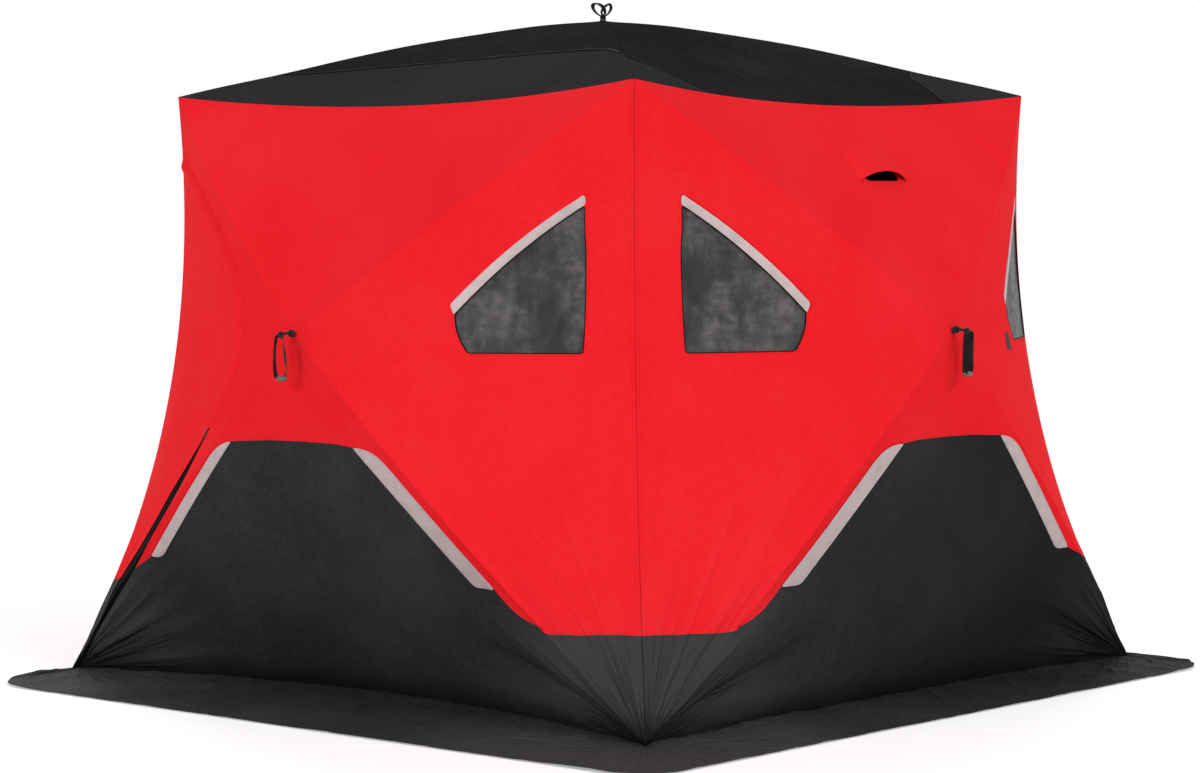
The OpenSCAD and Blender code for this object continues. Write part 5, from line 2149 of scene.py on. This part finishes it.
@dataclass
class Strap:
    """A loop of webbing on a wall's hub, to pull it out by or tie a guy rope to."""

    wall: Wall
    width: float = 0.018
    thickness: float = 0.0017
    link: float = 0.030
    stud: float = 0.012
    length: float = 0.138
    half: float = 0.020

    def loop(self) -> tuple[Array, Array, Array]:
        """The loop's middle line, the direction of its width, and its width, from the stud and back."""
        t = np.linspace(0, 1, 150)
        angle = 2 * math.pi * t
        out = SIZES.hub_out + self.stud + self.link + 0.011
        drop = 0.5 - 0.5 * np.cos(angle)
        shape = np.sin(angle)
        wide = self.half * np.sign(shape) * np.abs(shape) ** 0.62 * (0.72 + 0.35 * drop)
        z = SIZES.hub_h - 0.001 - (self.length - 0.012) * smooth(drop, -0.03, 1.03) ** 0.94
        o = out + 0.006 * np.sin(angle + 0.7) * np.sin(math.pi * t)
        line = np.stack([-wide, o, z], 1)
        twist = 1.25 * np.exp(-(((t - 0.76) / 0.13) ** 2)) + 0.35 * np.exp(-(((t - 0.2) / 0.15) ** 2))
        across = np.stack([np.sin(twist), np.cos(twist), 0 * t], 1)
        at_clip = 0.45 * np.exp(-(((t - 0.5) / 0.05) ** 2))
        at_stud = 0.35 * np.exp(-((np.minimum(t, 1 - t) / 0.03) ** 2))
        return line, across, self.width * (1 - at_clip - at_stud)

    def build(self, finishes: Finishes) -> Piece:
        """Makes the loop, its knot on the stud and the clip round its end."""
        line, across, width = self.loop()
        points, faces, uv = band(line, across, width, self.thickness)
        clip_points, clip_faces = self.clip(line)
        neck_points, neck_faces = self.neck()
        all_points, all_faces = join([(points, faces), (neck_points, neck_faces), (clip_points, clip_faces)])
        which = np.repeat([0, 0, 1], [len(faces), len(neck_faces), len(clip_faces)])
        places = np.concatenate([uv, neck_points[:, [1, 2]], clip_points[:, [1, 2]]])
        name = f"{self.wall.label}_strap"
        stood = self.wall.stand(all_points)
        both = [finishes.webbing, finishes.ferrule]
        obj = mesh_object(name + "_webbing", stood, all_faces, both, which, places)
        return settle(obj, "webbing", name)

    def clip(self, line: Array) -> Pair:
        """An oval sleeve crimped round both legs at the bottom of the loop."""
        low = line[len(line) // 2]
        t = np.linspace(-1, 1, 23)
        run = low + np.stack([0.019 * t, 0 * t, 0 * t + 0.001], 1)
        swell = (np.maximum(1 - np.abs(t) ** 5, 0.0)) ** 0.5 * 0.55 + 0.45
        section = circle(20) * [0.0082, 0.0078] * swell[:, None, None]
        side, up = np.tile([0.0, 1.0, 0.0], (23, 1)), np.tile([0.0, 0.0, 1.0], (23, 1))
        return sweep(run, section, side, up)

    def neck(self) -> Pair:
        """The webbing gathered from the stud out to the loop, with a knot at each end."""
        t = np.linspace(0, 1, 40)
        start, end = SIZES.hub_out + 0.002, SIZES.hub_out + self.stud + self.link + 0.014
        z = SIZES.hub_h + 0.001 + 0.002 * np.sin(5 * t)
        line = np.stack([0.0015 * np.sin(7 * t), start + (end - start) * t, z], 1)
        knots = 0.0062 * np.exp(-(((t - 0.14) / 0.15) ** 4)) + 0.0050 * np.exp(-(((t - 0.86) / 0.13) ** 4))
        radius = 0.0042 + knots
        radius *= 1 + 0.08 * np.sin(t * 60)
        radius[[0, -1]] *= 0.55
        return tube(line, radius, 16)


@dataclass
class RoofLoop:
    """The twisted loop of webbing on the roof's hub, to lift the roof by."""

    width: float = 0.014
    thickness: float = 0.0042
    turn: float = 0.7

    def build(self, finishes: Finishes) -> Piece:
        """Makes the loop's two lobes and its knot."""
        parts, places = [], []
        base = SIZES.apex_h + 0.012
        for lean, high, wide, twist in ((-1, 0.040, 0.034, 1.1), (1, 0.036, 0.026, -0.8)):
            t = np.linspace(0, 1, 70)
            a = 2 * math.pi * t
            lift = 0.5 - 0.5 * np.cos(a)
            x = lean * (0.0035 + wide * 0.55 * lift) + wide * 0.5 * np.sin(a)
            y = 0.004 * np.sin(2 * a) + 0.002 * lean
            z = base + 0.002 + high * lift**0.85
            turn = twist * np.sin(math.pi * t)
            across = np.stack([np.sin(turn), np.cos(turn), 0 * t], 1)
            points, faces, uv = band(np.stack([x, y, z], 1), across, np.full(70, self.width), self.thickness)
            parts.append((points @ np.array(Matrix.Rotation(-self.turn, 3, "Z")), faces))
            places.append(uv)
        line = np.array([0, 0, base - 0.012]) + np.array([0, 0, 0.020]) * np.linspace(0, 1, 20)[:, None]
        knot = tube(line, 0.0045 + 0.0050 * np.sin(np.linspace(0.2, math.pi - 0.2, 20)), 16)
        parts.append(knot)
        places.append(knot[0][:, :2])
        points, faces = join(parts)
        obj = mesh_object("roof_strap_webbing", points, faces, [finishes.webbing], 0, np.concatenate(places))
        return settle(obj, "webbing", "roof_strap")


# ---- Studio ----------------------------------------------------------------


@dataclass
class Studio:
    """A pale floor, plain soft light and the camera."""

    azimuth: float = 0.721254725
    distance: float = 10.3432565
    height: float = 1.40848745
    yaw: float = 0.0013251
    pitch: float = -0.0507947
    roll: float = -0.0036781
    lens: float = 97.768
    floor_half: float = 60.0
    world_level: float = 0.45
    floor_glow: float = 0.34
    front_sun: float = 1.09
    side_sun: float = 1.22
    back_sun: float = 1.0
    sun_spread: float = 28

    def camera(self) -> None:
        """Stands the camera off the corner between the front and right walls."""
        turn, level = self.azimuth + self.yaw, math.cos(self.pitch)
        ahead = np.array([-math.sin(turn) * level, math.cos(turn) * level, math.sin(self.pitch)])
        right = unit(np.cross(ahead, [0, 0, 1.0]))
        up = np.cross(right, ahead)
        c, s = math.cos(self.roll), math.sin(self.roll)
        right, up = c * right + s * up, c * up - s * right
        place = [math.sin(self.azimuth) * self.distance, -math.cos(self.azimuth) * self.distance, self.height]
        place = SIZES.middle + place
        rows = [[right[k], up[k], -ahead[k], place[k]] for k in range(3)] + [[0, 0, 0, 1]]
        data = bpy.data.cameras.new("camera")
        data.lens = self.lens
        obj = bpy.data.objects.new("camera", data)
        obj.matrix_world = Matrix(rows)
        bpy.context.scene.collection.objects.link(obj)
        bpy.context.scene.camera = obj

    def floor(self) -> None:
        """Lays a pale floor that keeps the hut's shadow and runs into white far away."""
        s = Shader("pale_floor")
        place = s.place()
        middle = s.vector("LENGTH", place).outputs["Value"]
        far = s.span(middle, 2.2, 6.0, 0, 1)
        diffuse = s.node("BsdfDiffuse", {"Color": (0.9, 0.9, 0.9, 1)}).outputs[0]
        glow = s.node("Emission", {"Color": (1, 1, 1, 1), "Strength": self.floor_glow}).outputs[0]
        lit = s.node("AddShader", {0: diffuse, 1: glow}).outputs[0]
        white = s.node("Emission", {"Color": (1, 1, 1, 1), "Strength": 1.0}).outputs[0]
        shown = s.node("MixShader", {0: far, 1: lit, 2: white}).outputs[0]
        seen = self.seen(s)
        end = s.node("MixShader", {0: seen, 1: diffuse, 2: shown}).outputs[0]
        s.tree.links.new(end, s.node("OutputMaterial").inputs[0])
        h = self.floor_half
        mesh = bpy.data.meshes.new("floor")
        mesh.from_pydata([(-h, -h, 0), (h, -h, 0), (h, h, 0), (-h, h, 0)], [], [(0, 1, 2, 3)])
        mesh.materials.append(s.owner)
        obj = bpy.data.objects.new("floor", mesh)
        obj.location.z = -0.001
        bpy.context.scene.collection.objects.link(obj)

    @staticmethod
    def seen(s: Shader) -> Socket:
        """One for rays from the camera, off gloss or through glass, and nothing for light."""
        path = s.node("LightPath")
        gloss = s.math("MAXIMUM", path.outputs["Is Glossy Ray"], path.outputs["Is Transmission Ray"])
        return s.math("MAXIMUM", path.outputs["Is Camera Ray"], gloss)

    def world(self) -> None:
        """Surrounds the hut with white that lights it plainly."""
        s = Shader("white", world=True)
        light = s.node("Background", {"Color": (1, 1, 1, 1), "Strength": self.world_level}).outputs[0]
        white = s.node("Background", {"Color": (1, 1, 1, 1), "Strength": 1.0}).outputs[0]
        both = s.node("MixShader", {0: self.seen(s), 1: light, 2: white}).outputs[0]
        s.tree.links.new(both, s.node("OutputWorld").inputs[0])
        bpy.context.scene.world = s.owner

    @staticmethod
    def sun(name: str, azimuth: float, elevation: float, strength: float, spread: float) -> None:
        """Hangs a soft sun.

        Args:
            name: Its name.
            azimuth: Degrees round from the front, toward the right wall.
            elevation: Degrees over the floor.
            strength: Its light, in watts to the square metre.
            spread: How wide it is, in degrees.
        """
        data = bpy.data.lights.new(name, "SUN")
        data.energy, data.angle = strength, math.radians(spread)
        a, e = math.radians(azimuth), math.radians(elevation)
        toward = Vector((math.sin(a) * math.cos(e), -math.cos(a) * math.cos(e), math.sin(e)))
        obj = bpy.data.objects.new(name, data)
        obj.rotation_mode = "QUATERNION"
        obj.rotation_quaternion = toward.to_track_quat("Z", "Y")
        bpy.context.scene.collection.objects.link(obj)

    def build(self) -> None:
        """Sets up the view, the floor and the lights."""
        self.camera()
        self.floor()
        self.world()
        self.sun("front_light", -4, 20, self.front_sun, self.sun_spread)
        self.sun("side_light", 86, 30, self.side_sun, self.sun_spread)
        self.sun("back_light", 225, 35, self.back_sun, 30)
        bpy.context.scene.view_settings.view_transform = "Standard"


def main() -> None:
    """Builds the hut and the studio round it."""
    logging.basicConfig(level=logging.INFO, format="%(message)s")
    finishes = Finishes()
    for wall in Wall:
        WallCloth(wall).build(finishes)
        RoofCloth(wall).build(finishes)
        Skirt(wall).build(finishes)
        Windows(wall).build(finishes)
        Strips(wall).build(finishes)
        Stitching(wall).build(finishes)
        Strap(wall).build(finishes)
        if wall.has_vent:
            VentHood(wall).build(finishes)
    DoorZip().build(finishes)
    PullTab().build(finishes)
    RoofLoop().build(finishes)
    Poles().build(finishes)
    Fittings().dress(finishes)
    Studio().build()


if __name__ == "__main__":
    main()
